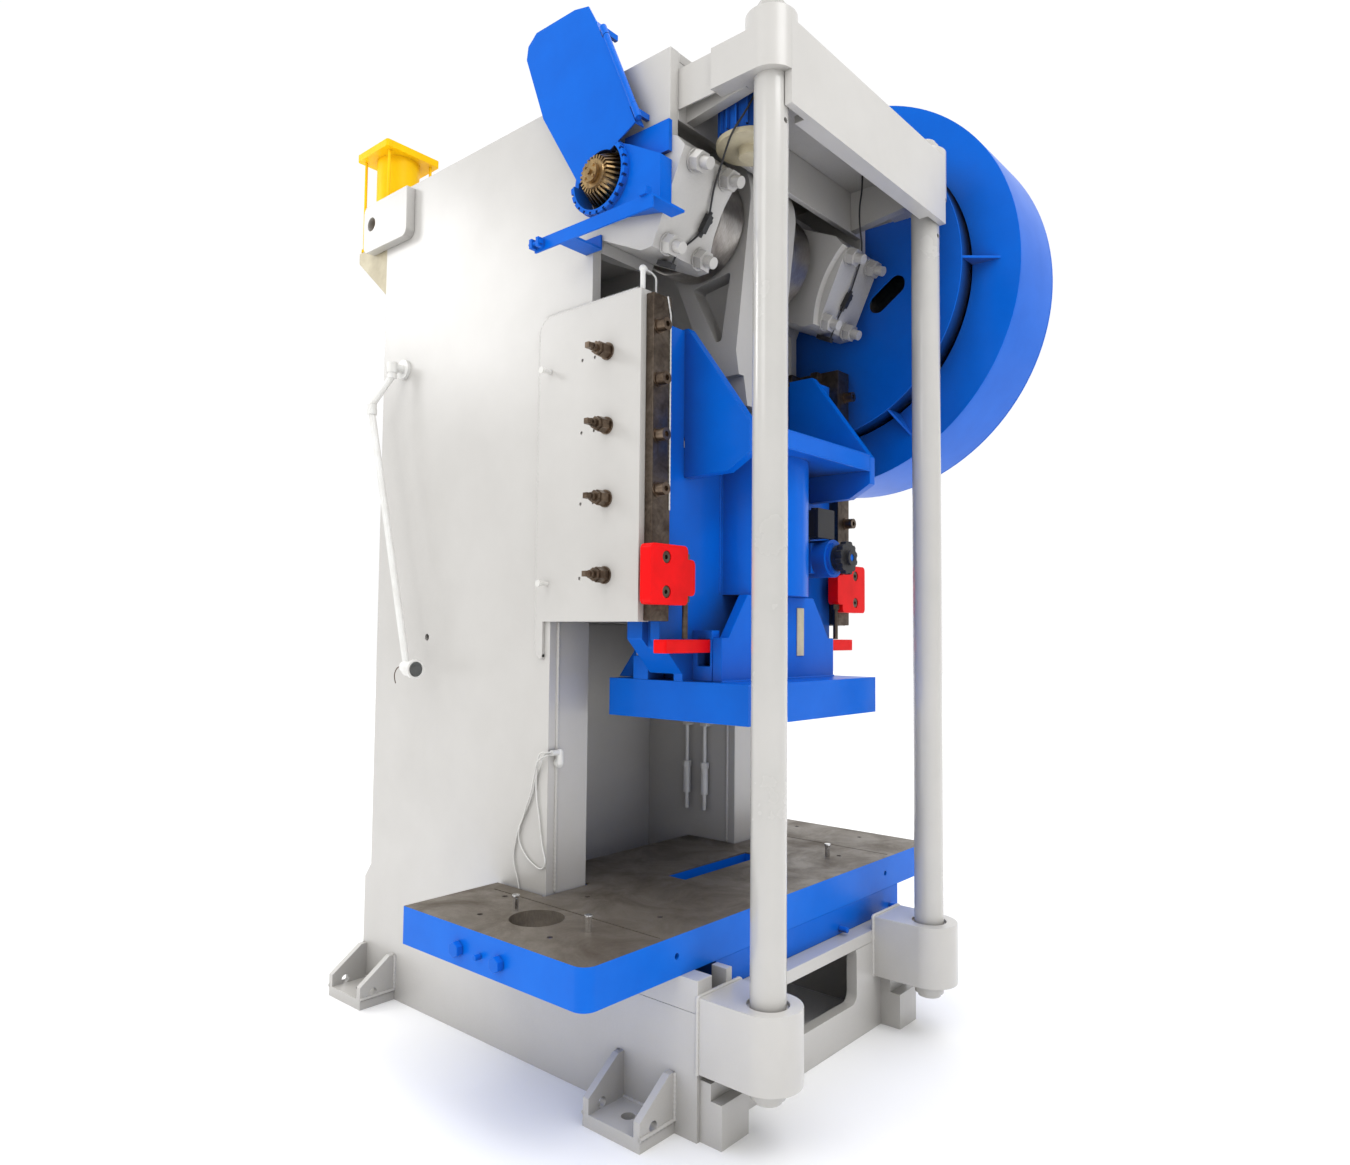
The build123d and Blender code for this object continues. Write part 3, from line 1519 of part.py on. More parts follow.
def tooth_ring():
    """Toothed cam ring on the front of the casing, cut away under the cover."""
    outer = casing_r - 3
    ring = crank_bore(-casing_out - ring_t, -casing_out, outer)
    ring -= crank_bore(-casing_out - ring_t - over, -casing_out + over, ring_r)
    slot = block(-casing_out - ring_t - over, -casing_out - ring_root, -ring_slot / 2, ring_slot / 2,
                 ring_r + ring_root, outer + over)
    for step in range(ring_teeth):
        ring -= Pos(0, crank_y, crank_z) * Rot(360 * step / ring_teeth, 0, 0) * slot
    reach = hinge_long
    under_cover = [along_hinge(-edge_gap, -reach / 8), along_hinge(-edge_gap, reach),
                   along_hinge(reach, reach), along_hinge(reach, -reach / 8)]
    return ring - side_profile(under_cover, -casing_out - ring_t - over, -casing_out)


def sensor_arm():
    """Bent sheet arm below the bevel gear, with a stay to the frame."""
    x0, x1 = -arm_x, -arm_x + arm_sheet
    high = arm_low + arm_h
    body = block(x0, x1, arm_front, arm_back, arm_low, high)
    body += block(x1, -frame_half, arm_front, arm_front + stay_w, high - arm_sheet, high)
    tab_y = crank_y + tab_front
    tab_z = arm_low + tab_up + arm_sheet
    body += block(x1, -frame_half, tab_y, tab_y + tab_w, tab_z - arm_sheet, tab_z)
    body += block(-frame_half - arm_sheet, -frame_half, tab_y, tab_y + tab_w, tab_z, tab_z + tab_foot_h)
    for back in (eye_in, eye_in + eye_pitch):
        y = arm_back - back
        body += block(x0 - eye_out, x0, y - eye_t / 2, y + eye_t / 2, arm_low + 6, high - 6)
    body += peg(x0 - 16, arm_low + arm_h / 2, arm_back - eye_in - eye_pitch - eye_t,
                arm_back - eye_in + eye_t, eye_pin_r)
    clip_y = arm_front + stay_w / 3
    return body + block(x0 - 10, x0 + clip_w - 10, clip_y, clip_y + clip_w, high, high + clip_h)


def hinge_piece(r, start, stop):
    """Round piece on the cover's hinge line."""
    y, z = along_hinge((start + stop) / 2)
    where = Plane(origin=(-cover_x, y, z), z_dir=(0, sin(cover_lean), cos(cover_lean)))
    return where * Cylinder(r, stop - start)


def guard_cover():
    """Sheet cover that swings out on its front edge, with a turned rim and one hinge barrel."""
    outline = [along_hinge(cover_foot, cover_gap)]
    outline += [(crank_y + back, crank_z + up) for back, up in cover_line]
    outline += [along_hinge(hinge_long, cover_gap)]
    sheet = side_profile(outline, -cover_x - cover_t, -cover_x)
    sheet -= crank_bore(-cover_x - 2 * cover_t, -cover_x + cover_t, relief_r)
    rim = [along_hinge(cover_foot, cover_gap), along_hinge(hinge_long, cover_gap),
           along_hinge(hinge_long, cover_gap + cover_t), along_hinge(cover_foot, cover_gap + cover_t)]
    sheet += side_profile(rim, -cover_x, -cover_x + rim_w)
    strap = [along_hinge(barrel_from, 0), along_hinge(barrel_to, 0), along_hinge(barrel_to, strap_w),
             along_hinge(barrel_from, strap_w)]
    sheet += side_profile(strap, -cover_x - cover_t, -cover_x)
    sheet += hinge_piece(hinge_barrel_r, barrel_from, barrel_to)
    return sheet - hinge_piece(hinge_pin_r + run_gap, barrel_from - over, barrel_to + over)


def cover_hinge():
    """Two hinge ears on the frame with the pin between them."""
    low = (barrel_from - ear_gap - low_ear, barrel_from - ear_gap)
    high = (barrel_to + ear_gap, barrel_to + ear_gap + high_ear)
    body = hinge_piece(hinge_pin_r, low[0] - 2 * ear_gap, high[1] + 2 * ear_gap)
    for start, stop in (low, high):
        y, z = along_hinge((start + stop) / 2)
        body += hinge_piece(ear_r, start, stop)
        body += block(-cover_x, -frame_half, y - ear_half_y, y + ear_half_y, z - ear_half_z,
                      z + ear_half_z)
    return body


# Drum guard over the bull gear, welded from rings and flat plates

def ring_plate(x0, x1, r0, r1):
    """Ring or washer round the crank axis between two radii."""
    return crank_bore(x0, x1, r1) - crank_bore(x0 - over, x1 + over, r0)


def guard_barrel():
    """Rolled outer barrel of the drum guard."""
    return ring_plate(guard_step + guard_t, guard_out, guard_r1 - guard_t, guard_r1)


def guard_disc():
    """Inner disc of the drum guard with the shaft hole and an oval window."""
    disc = ring_plate(guard_in, guard_in + guard_t, journal_r + guard_hole_extra, guard_r0)
    oval = extrude(SlotOverall(oval_l, oval_w), 2 * guard_t, both=True)
    where = Pos(guard_in, crank_y - oval_front, crank_z - oval_drop)
    return disc - where * Rot(0, 90, 0) * Rot(0, 0, oval_turn) * oval


def guard_ring():
    """Short rolled ring between the inner disc and the annulus."""
    return ring_plate(guard_in + guard_t, guard_step + guard_t, guard_r0 - guard_t, guard_r0)


def guard_annulus():
    """Flat annulus that carries the outer barrel."""
    return ring_plate(guard_step, guard_step + guard_t, guard_r0, guard_r1)


def guard_lid():
    """Flat lid on the right of the drum guard with a round inspection cover."""
    face = guard_out + guard_t
    lid = crank_bore(guard_out, face, guard_r1)
    lid += crank_bore(face, face + lid_plate_t, lid_plate_r)
    for y, z in ring_spots(lid_bolt_count, guard_r1 - lid_bolt_in, 22.5):
        lid += bar(y, z, face - over, face + lid_bolt_t, lid_bolt_r)
    for y, z in ring_spots(lid_bolt_count, lid_plate_r - 30, 22.5):
        lid += bar(y, z, face, face + lid_plate_t + lid_bolt_t, lid_bolt_r - 3)
    return lid


def guard_gussets():
    """Triangular stiffeners between the guard's short ring and its annulus."""
    wing = front_profile([(guard_in + guard_t, guard_r0), (guard_step, guard_r0),
                          (guard_step, guard_r0 + rib_reach)], -rib_thick / 2, rib_thick / 2)
    return [Pos(0, crank_y, crank_z) * Rot(angle, 0, 0) * wing for angle in rib_angles]


def guard_mounts():
    """Stand-off brackets that carry the drum guard on the right side plate."""
    pieces = []
    for back, up in mount_spots:
        y, z = crank_y + back, crank_z + up
        pieces.append(block(frame_half, guard_in, y - mount_w / 2, y + mount_w / 2, z - mount_h / 2,
                            z + mount_h / 2))
    return pieces


# Lamp on the left side plate

elbow_z = lamp_z - elbow_drop
lamp_end = (-elbow_x, tail_y, lamp_z - tail_drop)
swivel_x = -frame_half - lamp_out


def lamp_base():
    """Wall boss and post of the lamp."""
    wall = -frame_half
    body = bar(lamp_y, lamp_z, wall - wall_disc_t, wall, wall_disc_r)
    body += bar(lamp_y, lamp_z, swivel_x, wall - wall_disc_t, post_r - 4)
    return body + post(swivel_x, lamp_y, lamp_z - 26, lamp_z + 18, post_r)


def lamp_upper():
    """Upper arm from the wall swivel to the elbow."""
    low = lamp_z - 50
    body = post(swivel_x, lamp_y, low, lamp_z - 26, swivel_r)
    body += tube_between((swivel_x, lamp_y, low + 10), (-elbow_x, elbow_y, elbow_z + 1.5 * elbow_t),
                         tube_r)
    return body + post(-elbow_x, elbow_y, elbow_z + elbow_t / 2, elbow_z + 1.5 * elbow_t, swivel_r)


def lamp_lower():
    """Lower arm with its elbow barrel."""
    body = post(-elbow_x, elbow_y, elbow_z - elbow_t / 2, elbow_z + elbow_t / 2, elbow_r)
    return body + tube_between((-elbow_x, elbow_y, elbow_z - 4), lamp_end, tube_r)


socket_front = tail_y - 70.0
socket_z = lamp_end[2] - 26.0
tail_exit = tail_y + socket_ball_r + 4.0


def lamp_socket():
    """White lamp socket, open at its front, with a short nipple for the lead."""
    x, y, z = lamp_end
    body = Pos(x, y, z - 18) * Sphere(socket_ball_r)
    body += peg(x, socket_z, socket_front + 14, y - 12, socket_body_r)
    body += peg(x, socket_z, socket_front, socket_front + 16, socket_rim_r)
    body += peg(x, z - 18, y, tail_exit, 2 * tail_r + 2)
    return body - peg(x, socket_z, socket_front - over, socket_front + lamp_in - 10, socket_body_r)


def lamp_glass():
    """Glass disc of the lamp."""
    seat = socket_front + lamp_in - 10
    return peg(lamp_end[0], socket_z, seat - lens_t, seat, socket_body_r)


# Air cylinder behind the frame and motor under the crown

barrel_top = tank_top - tank_head_t


def tank_barrel():
    """Barrel of the air cylinder with its foot flange."""
    body = post(tank_x, tank_y, tank_low, barrel_top, tank_r)
    return body + post(tank_x, tank_y, tank_low, tank_low + tank_foot_t, tank_foot_r)


def tank_head():
    """Square head plate of the air cylinder with a port boss."""
    half_w, half_d = tank_head_w / 2, tank_head_d / 2
    plate = block(tank_x - half_w, tank_x + half_w, tank_y - half_d, tank_y + half_d, barrel_top,
                  tank_top)
    plate = fillet(plate.edges().filter_by(Axis.Z), tank_head_r)
    return plate + post(tank_x, tank_y, tank_top, tank_top + tank_port_t, tank_port_r)


def tank_rods():
    """Four tie rods of the air cylinder with nuts."""
    pieces = []
    for x in (tank_x - tank_rod_dx, tank_x + tank_rod_dx):
        for y in (tank_y - tank_rod_dy, tank_y + tank_rod_dy):
            rod = post(x, y, tank_low, barrel_top, tank_rod_r)
            pieces.append(rod + hex_along("z", (x, y, tank_low + tank_nut_t / 2), tank_nut_w,
                                          tank_nut_t))
    return pieces


def tank_shelf():
    """Bracket plate with two gussets that carries the air cylinder behind the frame."""
    x0, x1 = tank_x - tank_shelf_in, tank_x + tank_shelf_out
    under = tank_low - tank_shelf_t
    back = tank_y + tank_rod_dy + tank_nut_w
    plate = block(x0, x1, frame_rear, back, under, tank_low)
    outline = [(frame_rear, under), (back, under), (back, under - tank_shelf_t),
               (frame_rear, under - tank_rib_h)]
    for x in (x0, x1 - tank_rib_t):
        plate += side_profile(outline, x, x + tank_rib_t)
    return plate


def adjust_motor():
    """Ribbed motor hung below the crown's deck."""
    body = post(motor_x, motor_y, motor_low, arm_high, motor_r)
    fin = block(-fin_t / 2, fin_t / 2, motor_r - fin_t, fin_out, motor_low + fin_in,
                arm_high - fin_in)
    for step in range(fin_count):
        body += Pos(motor_x, motor_y, 0) * Rot(0, 0, 360 / fin_count * step) * fin
    return body + post(motor_x, motor_y, arm_high - motor_flange_t, arm_high, fin_out)


def motor_foot():
    """Cream flange below the ribbed motor, with its shaft cover."""
    low = motor_low - motor_flange_t
    body = post(motor_x, motor_y, low, motor_low, motor_r + foot_extra)
    return body + post(motor_x, motor_y, low - shaft_cover_t, low, shaft_cover_r)


# Small frame fittings

def air_pipes():
    """Two riser pipes in the passage, each with a sleeve, a union and a clip."""
    x = upright_inner - pipe_in
    sleeve_high = sleeve_low + sleeve_long
    pieces = []
    for back in pipe_back:
        y = throat_face + back
        pipe = post(x, y, pipe_low, pipe_low + pipe_long, pipe_r)
        pipe += post(x, y, sleeve_low, sleeve_high, sleeve_r)
        pipe += hex_along("z", (x, y, sleeve_high), union_w, union_t)
        pieces.append(pipe + block(x - pipe_r - 3, upright_inner, y - 2 * pipe_r, y + 2 * pipe_r,
                                   pipe_clip_z - pipe_r, pipe_clip_z + pipe_r))
    return pieces


nozzle_y = throat_face - 15.0


def cable_gland():
    """White cable nozzle on the left upright, and a grommet low on the side plate."""
    knee, bend, mouth = (-600, nozzle_y, 1056), (-602, nozzle_y, 1094), (-642, nozzle_y, 1094)
    body = peg(knee[0], knee[2], nozzle_y, throat_face, nozzle_r + 4)
    body += tube_between(knee, bend, nozzle_r) + tube_between(bend, mouth, nozzle_r - 3)
    for corner in (knee, bend):
        body += Pos(*corner) * Sphere(nozzle_r)
    _, y, z = drop_route[-1]
    grommet = bar(y, z, -frame_half - 4, -frame_half, 9) - bar(y, z, -frame_half - 5, -frame_half + 1,
                                                               cable_r + guide_gap)
    x, y, z = hose_route[0]
    hose_end = post(x - nozzle_r, y, head_shoulder, z, nozzle_r - 4)
    hose_end += Pos(x - nozzle_r, y, z) * Sphere(nozzle_r)
    hose_end += bar(y, z, x - nozzle_r, x, nozzle_r - 4)
    return [body, grommet, hose_end]


# Free cables: runs joined by tangent arcs as large as the runs allow

loop_route = [
    (-642, -300.5, 1098.5), (-660, -300.5, 1098.5), (-676, -281, 1100), (-668, -258, 1080),
    (-656, -240, 1038), (-653, -230, 985), (-651, -233, 925), (-650, -247, 868),
    (-650, -256, 810), (-650, -267, 758), (-650, -284, 722), (-650, -279, 694),
    (-650, -254, 684), (-650, -222, 694), (-650, -187, 712), (-650, -156, 739),
    (-651, -136, 776), (-654, -144, 815), (-657, -168, 851), (-658, -184, 896),
    (-658, -208, 944), (-659, -222, 996), (-664, -240, 1037), (-679, -262, 1064),
    (-680, -286, 1080), (-662, -300.5, 1089.5), (-642, -300.5, 1089.5),
]
drop_route = [
    (-642, -291.5, 1094), (-662, -291.5, 1094), (-672, -280, 1080), (-652, -256, 1050),
    (-649, -228, 1015), (-649, -215, 962), (-649, -196, 914), (-649, -172, 872),
    (-649, -145, 833), (-649, -128, 791), (-649, -117, 750), (-649, -108, 710),
    (-650, -116, 670), (-650, -134, 634), (-650, -146, 594), (-650, -149, 545),
    (-650, -152, 476), (-660, -157, 440), (-690, -161, 404), (-684, -166, 366),
    (-644, -166, 366),
]
left_lead_route = [
    (-482, -1085, arm_high), (-482, -1085, 3335), (-496, -1066, 3268), (-514, -1036, 3205),
    (-526, -992, 3150), (-500, -946, 3112), (-467, *lean(290, -140)), (-461, *lean(286, -90)),
    (-450, *lean(289, -34)), (-444, *lean(291, -4)), (-454, *lean(291, 52)), (-490, *lean(287, 104)),
    (-532, *lean(284, 146)), (-532, *lean(284, cap_half)),
]
right_lead_route = [
    (420, -940, arm_high), (420, -940, 3335), (410, -932, 3265), (422, -925, 3195),
    (452, -920, 3130), (486, *lean(292, -150)), (497, *lean(288, -90)), (500, *lean(291, -4)),
    (490, *lean(291, 52)), (484, *lean(287, 104)), (490, *lean(284, 146)),
    (490, *lean(284, cap_half)),
]
hose_route = [
    (-615, -700, 2741), (-562, -700, 2741), (-564, -702, 2694), (-564, -702, gib_top),
]
tail_route = [
    (-elbow_x, tail_exit, lamp_end[2] - 18), (-elbow_x, tail_exit + 22, lamp_end[2] - 18),
    (-elbow_x - 1, tail_exit + 43, lamp_end[2] - 36), (-elbow_x - 2, tail_exit + 50, lamp_end[2] - 62),
    (-elbow_x, tail_exit + 40, lamp_end[2] - 86),
]


def cord(name, route, r):
    """Round cable along a route of points."""
    points = [Vector(*p) for p in route]
    radii = []
    for a, b, c in zip(points, points[1:], points[2:]):
        turn = radians((b - a).get_angle(c - b))
        radii.append(0.45 * min((b - a).length, (c - b).length) / tan(turn / 2))
    path = FilletPolyline(*points, radius=radii)
    tube = sweep(Plane(origin=path @ 0, z_dir=path % 0) * Circle(r), path=path)
    share = tube.volume / (pi * r * r * path.length)
    print(name, "length", round(path.length), "volume share", round(share, 4), "smallest radii",
          [round(v) for v in sorted(radii)[:4]])
    return tube


def cap_sensor(x, down, run_x, run_down):
    """Small proximity switch on a bearing cap, in line with its lead."""
    along = (run_x, run_down * lean_d[0], run_down * lean_d[1])
    here = Plane(origin=(x, *lean(cap_reach, down)), z_dir=(0, lean_n[0], lean_n[1]), x_dir=along)
    half = sensor_l / 2
    body = here * Pos(0, 0, sensor_w / 2) * Box(sensor_l, sensor_w, sensor_w)
    body += here * Pos(half + 8, 0, sensor_w / 2) * Rot(0, 90, 0) * Cylinder(sensor_w / 2 - 3, 16)
    body += here * Pos(-half - 6, 0, sensor_w / 2) * Rot(0, 90, 0) * Cylinder(sensor_w / 2 - 4, 12)
    return body + here * Pos(-half / 2, sensor_w / 2, sensor_w / 2) * Rot(90, 0, 0) * Cylinder(9, 14)


def lead_clip(x):
    """Clip block under the cap's lower edge, where the lead ends."""
    outline = [lean(cap_reach - 60, cap_half), lean(cap_reach + 12, cap_half),
               lean(cap_reach + 12, cap_half + 18), lean(cap_reach - 60, cap_half + 18)]
    return side_profile(outline, x - 12, x + 12)


loop = cord("cable_loop", loop_route, cable_r)
drop = cord("cable_drop", drop_route, cable_r)
left_lead = cord("lead_left", left_lead_route, lead_r)
right_lead = cord("lead_right", right_lead_route, lead_r)
tail = cord("lamp_tail", tail_route, tail_r)
hose = cord("grease_hose", hose_route, hose_r)
left_sensor = cap_sensor(sensor_left_x, sensor_down, *sensor_run) - left_lead
right_sensor = cap_sensor(sensor_right_x, sensor_down, *sensor_run) - right_lead
cap_sensors = [left_sensor, right_sensor, lead_clip(clip_left_x), lead_clip(clip_right_x)]
side_screws = [gib_screw(side, z) for side in (-1, 1) for z in screw_heights]
side_pins = [stub_pin(side, z) for side in (-1, 1) for z in stub_heights]
nodes = {
    "side_frame_right": [side_frame()],
    "side_frame_left": [left_side_frame()],
    "head_pads": both(head_pad()),
    "uprights": both(upright_post()),
    "bed_front_plate": [bed_front_plate()],
    "bed_top_plate": [bed_top_plate()],
    "inner_walls": [cross_wall(), head_floor(), bolster_rest(), riser_stop()],
    "rear_plates": [rear_plate(), base_rear_plate()],
    "roof_plate": [roof(), nose_plate()],
    "feet": both(foot(-anchor_y)) + both(foot(anchor_y)) + both(front_pad()),
    "tie_rod_lugs": both(lower_lug()),
    "tie_rods": both(tie_rod()) + tie_rod_nuts(),
    "crown_frame": [crown_beam(), crown_deck()] + both(crown_side()) + both(crown_boss()),
    "lifting_lugs": both(lifting_lug()),
    "bolster": [bolster()],
    "bolster_pins": bolster_pins(),
    "riser_plate": [riser()] + bolster_bolts(),
    "bearing_housings": both(bearing_housing()),
    "bearing_caps": both(bearing_cap()),
    "cap_studs": cap_studs(),
    "cap_sensors": cap_sensors,
    "crank_bushes": both(crank_bush()),
    "crankshaft": [crankshaft(), hub_ring()],
    "bevel_gear": [bevel_gear()],
    "bull_gear": [bull_gear()],
    "connecting_rod": [connecting_rod()],
    "ball_screw": [ball_screw()],
    "slide_body": [slide_body()],
    "slide_plate": [slide_plate()],
    "slide_plates": [slide_front_plate(), slide_shelf()] + both(slide_cheek()),
    "ball_seat": [ball_seat()],
    "knockout_bar": [knockout_bar()],
    "slide_brackets": both(bar_guide()) + [limit_bracket()],
    "stop_brackets": both(stop_bracket()),
    "stop_bolts": stop_bolts(),
    "gibs": both(gib()),
    "gib_bolts": gib_bolts() + side_screws + side_pins,
    "adjuster_box": [adjuster_box()],
    "adjuster_knob": [adjuster_knob()],
    "switch_box": [switch_box()],
    "cream_plates": [scale_plate(), limit_block(), limit_nut()],
    "gear_casing": [gear_casing(), tooth_ring(), cover_hinge()],
    "sensor_arm": [sensor_arm()],
    "guard_cover": [guard_cover()],
    "drum_guard": [guard_barrel()],
    "guard_plates": [guard_disc(), guard_ring(), guard_annulus(), guard_lid()] + guard_gussets()
                    + guard_mounts(),
    "lamp_base": [lamp_base()] + cable_gland(),
    "lamp_upper": [lamp_upper()],
    "lamp_lower": [lamp_lower(), lamp_socket()],
    "lamp_glass": [lamp_glass()],
    "air_cylinder": [tank_barrel(), tank_head()] + tank_rods(),
    "shelves": [tank_shelf(), motor_foot()],
    "adjust_motor": [adjust_motor()],
    "air_pipes": air_pipes(),
    "cable_loop": [loop],
    "cable_drop": [drop],
    "lead_left": [left_lead],
    "lead_right": [right_lead],
    "lamp_tail": [tail],
    "grease_hose": [hose],
}
for name, pieces in nodes.items():
    solid = pieces[0] if len(pieces) == 1 else Compound(children=pieces)
    export_step(solid, os.path.join("parts", name + ".step"))
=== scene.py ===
# %% [markdown]
# # A stamping press, dressed for the camera
# The solid model of the press comes in as a fixed frame of plain steel pieces. This lesson gives
# each piece its paint, bare metal or plastic, softens the edges, and adds the thin things that a
# solid model leaves out, such as welds and leads. Everything is in metres, +Z is up, and the open
# front of the press faces -Y.

# %% Load the frame
import json
import math
import bpy
from mathutils import Matrix, Vector


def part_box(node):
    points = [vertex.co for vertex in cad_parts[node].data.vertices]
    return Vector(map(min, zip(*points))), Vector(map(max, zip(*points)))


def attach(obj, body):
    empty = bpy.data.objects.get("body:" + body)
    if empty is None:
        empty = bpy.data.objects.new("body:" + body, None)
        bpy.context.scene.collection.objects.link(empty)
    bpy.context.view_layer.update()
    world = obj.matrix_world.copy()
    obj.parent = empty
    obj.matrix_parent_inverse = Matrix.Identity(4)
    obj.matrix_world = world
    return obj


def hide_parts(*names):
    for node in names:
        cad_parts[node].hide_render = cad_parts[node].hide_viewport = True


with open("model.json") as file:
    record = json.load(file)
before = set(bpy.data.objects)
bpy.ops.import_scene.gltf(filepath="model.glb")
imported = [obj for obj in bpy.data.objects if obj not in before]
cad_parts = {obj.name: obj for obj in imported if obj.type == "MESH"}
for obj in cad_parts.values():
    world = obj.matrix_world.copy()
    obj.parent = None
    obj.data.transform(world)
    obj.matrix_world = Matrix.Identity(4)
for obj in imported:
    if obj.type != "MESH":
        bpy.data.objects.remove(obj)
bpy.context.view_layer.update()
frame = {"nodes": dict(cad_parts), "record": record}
nodes = frame["nodes"]
print("pieces in the frame:", len(nodes))

# %% [markdown]
# ## The camera
# The photograph was taken from the front left, about eye height, with a wide lens that looks
# slightly up, so the columns lean a little. The camera is set from its place, its heading, its
# pitch and its roll, because those four can be read from the picture by its vanishing lines. The
# plain view transform keeps the white studio white, as a catalogue picture has it.

# %% Camera
PLACE = Vector((-2.841, -2.763, 1.524))
HEADING = math.radians(-49.22)
PITCH = math.radians(3.10)
ROLL = math.radians(0.52)
LENS = 24.54
SENSOR = 36.0


def camera_axes(heading, pitch, roll):
    """Right, up and forward of a camera that is turned, then pitched, then rolled."""
    level = Vector((math.cos(heading), math.sin(heading), 0))
    ahead = Vector((-math.sin(heading), math.cos(heading), 0))
    forward = ahead * math.cos(pitch) + Vector((0, 0, math.sin(pitch)))
    upright = level.cross(forward)
    right = level * math.cos(roll) + upright * math.sin(roll)
    up = upright * math.cos(roll) - level * math.sin(roll)
    return right, up, forward


right, up, forward = camera_axes(HEADING, PITCH, ROLL)
lens = bpy.data.cameras.new("camera")
lens.lens = LENS
lens.sensor_width = SENSOR
lens.clip_end = 60
camera = bpy.data.objects.new("camera", lens)
bpy.context.scene.collection.objects.link(camera)
turn = Matrix((right, up, -forward)).transposed().to_4x4()
camera.matrix_world = Matrix.Translation(PLACE) @ turn
bpy.context.scene.camera = camera
bpy.context.scene.view_settings.view_transform = "Standard"
print("camera looks along", [round(c, 3) for c in forward])

# %% [markdown]
# ## Node helpers
# Materials are made of small boxes joined by wires. Short helpers keep the cells below readable:
# they add a box with its settings, join an output to an input, mix two colours, do a sum, stretch
# a range, and start a group with named inputs and outputs. The nodes could be placed by hand in
# the editor too, but a script builds them the same way every time.

# %% Node helpers


def add(tree, kind, place=(0, 0), **values):
    """One node, with its properties and its input values set by name."""
    node = tree.nodes.new(kind)
    node.location = place
    for name, value in values.items():
        if hasattr(node, name):
            setattr(node, name, value)
        else:
            node.inputs[name.replace("_", " ")].default_value = value
    return node


def join(tree, start, end):
    """Wire from one socket to another."""
    tree.links.new(start, end)


def mix_colours(tree, share, first, second):
    """Output socket of a colour mix; each colour is a socket or a plain colour."""
    mix = tree.nodes.new("ShaderNodeMix")
    mix.data_type = "RGBA"
    factor, one, two = mix.inputs[0], mix.inputs[6], mix.inputs[7]
    tree.links.new(share, factor)
    for socket, value in ((one, first), (two, second)):
        if isinstance(value, tuple):
            socket.default_value = (*value, 1.0)
        else:
            tree.links.new(value, socket)
    return mix.outputs[2]


def maths(tree, operation, *values):
    """Result of one math node; each value is a socket or a number."""
    step = add(tree, "ShaderNodeMath", operation=operation)
    for socket, value in zip(step.inputs, values):
        if isinstance(value, (int, float)):
            socket.default_value = value
        else:
            tree.links.new(value, socket)
    return step.outputs["Value"]


def ramp(tree, value, low, high, to_low=0.0, to_high=1.0):
    """A value stretched from one range to another and held at both ends."""
    stretch = add(tree, "ShaderNodeMapRange", From_Min=low, From_Max=high,
                  To_Min=to_low, To_Max=to_high)
    tree.links.new(value, stretch.inputs["Value"])
    return stretch.outputs["Result"]


def rgba(colour):
    """Colour with full alpha."""
    return (*colour, 1.0)


def group(name, inputs, outputs):
    """Empty shader node group with typed sockets, and its two end nodes."""
    tree = bpy.data.node_groups.new(name, "ShaderNodeTree")
    for label, kind, value in inputs:
        socket = tree.interface.new_socket(label, in_out="INPUT", socket_type="NodeSocket" + kind)
        socket.default_value = value
    for label, kind in outputs:
        tree.interface.new_socket(label, in_out="OUTPUT", socket_type="NodeSocket" + kind)
    return tree, tree.nodes.new("NodeGroupInput"), tree.nodes.new("NodeGroupOutput")


def new_material(name):
    """Material with nodes: itself, its tree and its Principled shader."""
    material = bpy.data.materials.new(name)
    material.use_nodes = True
    return material, material.node_tree, material.node_tree.nodes["Principled BSDF"]


def fill(node, values):
    """Input values of a node set by their labels."""
    for label, value in values.items():
        node.inputs[label].default_value = value


def lead_into(tree, source, shader, strength, distance):
    """Colour, roughness and bumps of a group led into the Principled shader."""
    bump = add(tree, "ShaderNodeBump", (-250, -200), Strength=strength, Distance=distance)
    join(tree, source.outputs["Color"], shader.inputs["Base Color"])
    join(tree, source.outputs["Roughness"], shader.inputs["Roughness"])
    join(tree, source.outputs["Height"], bump.inputs["Height"])
    join(tree, bump.outputs["Normal"], shader.inputs["Normal"])


print("node helpers are ready")

# %% [markdown]
# ## What paint does on a big machine
# Sprayed machine paint is never one colour. It has faint clouds where the coat is thinner and dust
# on faces that look up. The colour is also darkened in corners and most of all on undersides: that
# is painted shade, with a little dirt in it. An image of old paint could be wrapped round each
# piece, but it would stretch and show its seams. One group of procedural nodes serves every painted
# piece instead, so all the paints age alike.

# %% Paint group
DUST_TONE = (0.42, 0.39, 0.34)
# dark tone of the painted shade in corners and under pieces, with a little dirt in it
SHADE_AND_DIRT_TONE = (0.045, 0.038, 0.03)


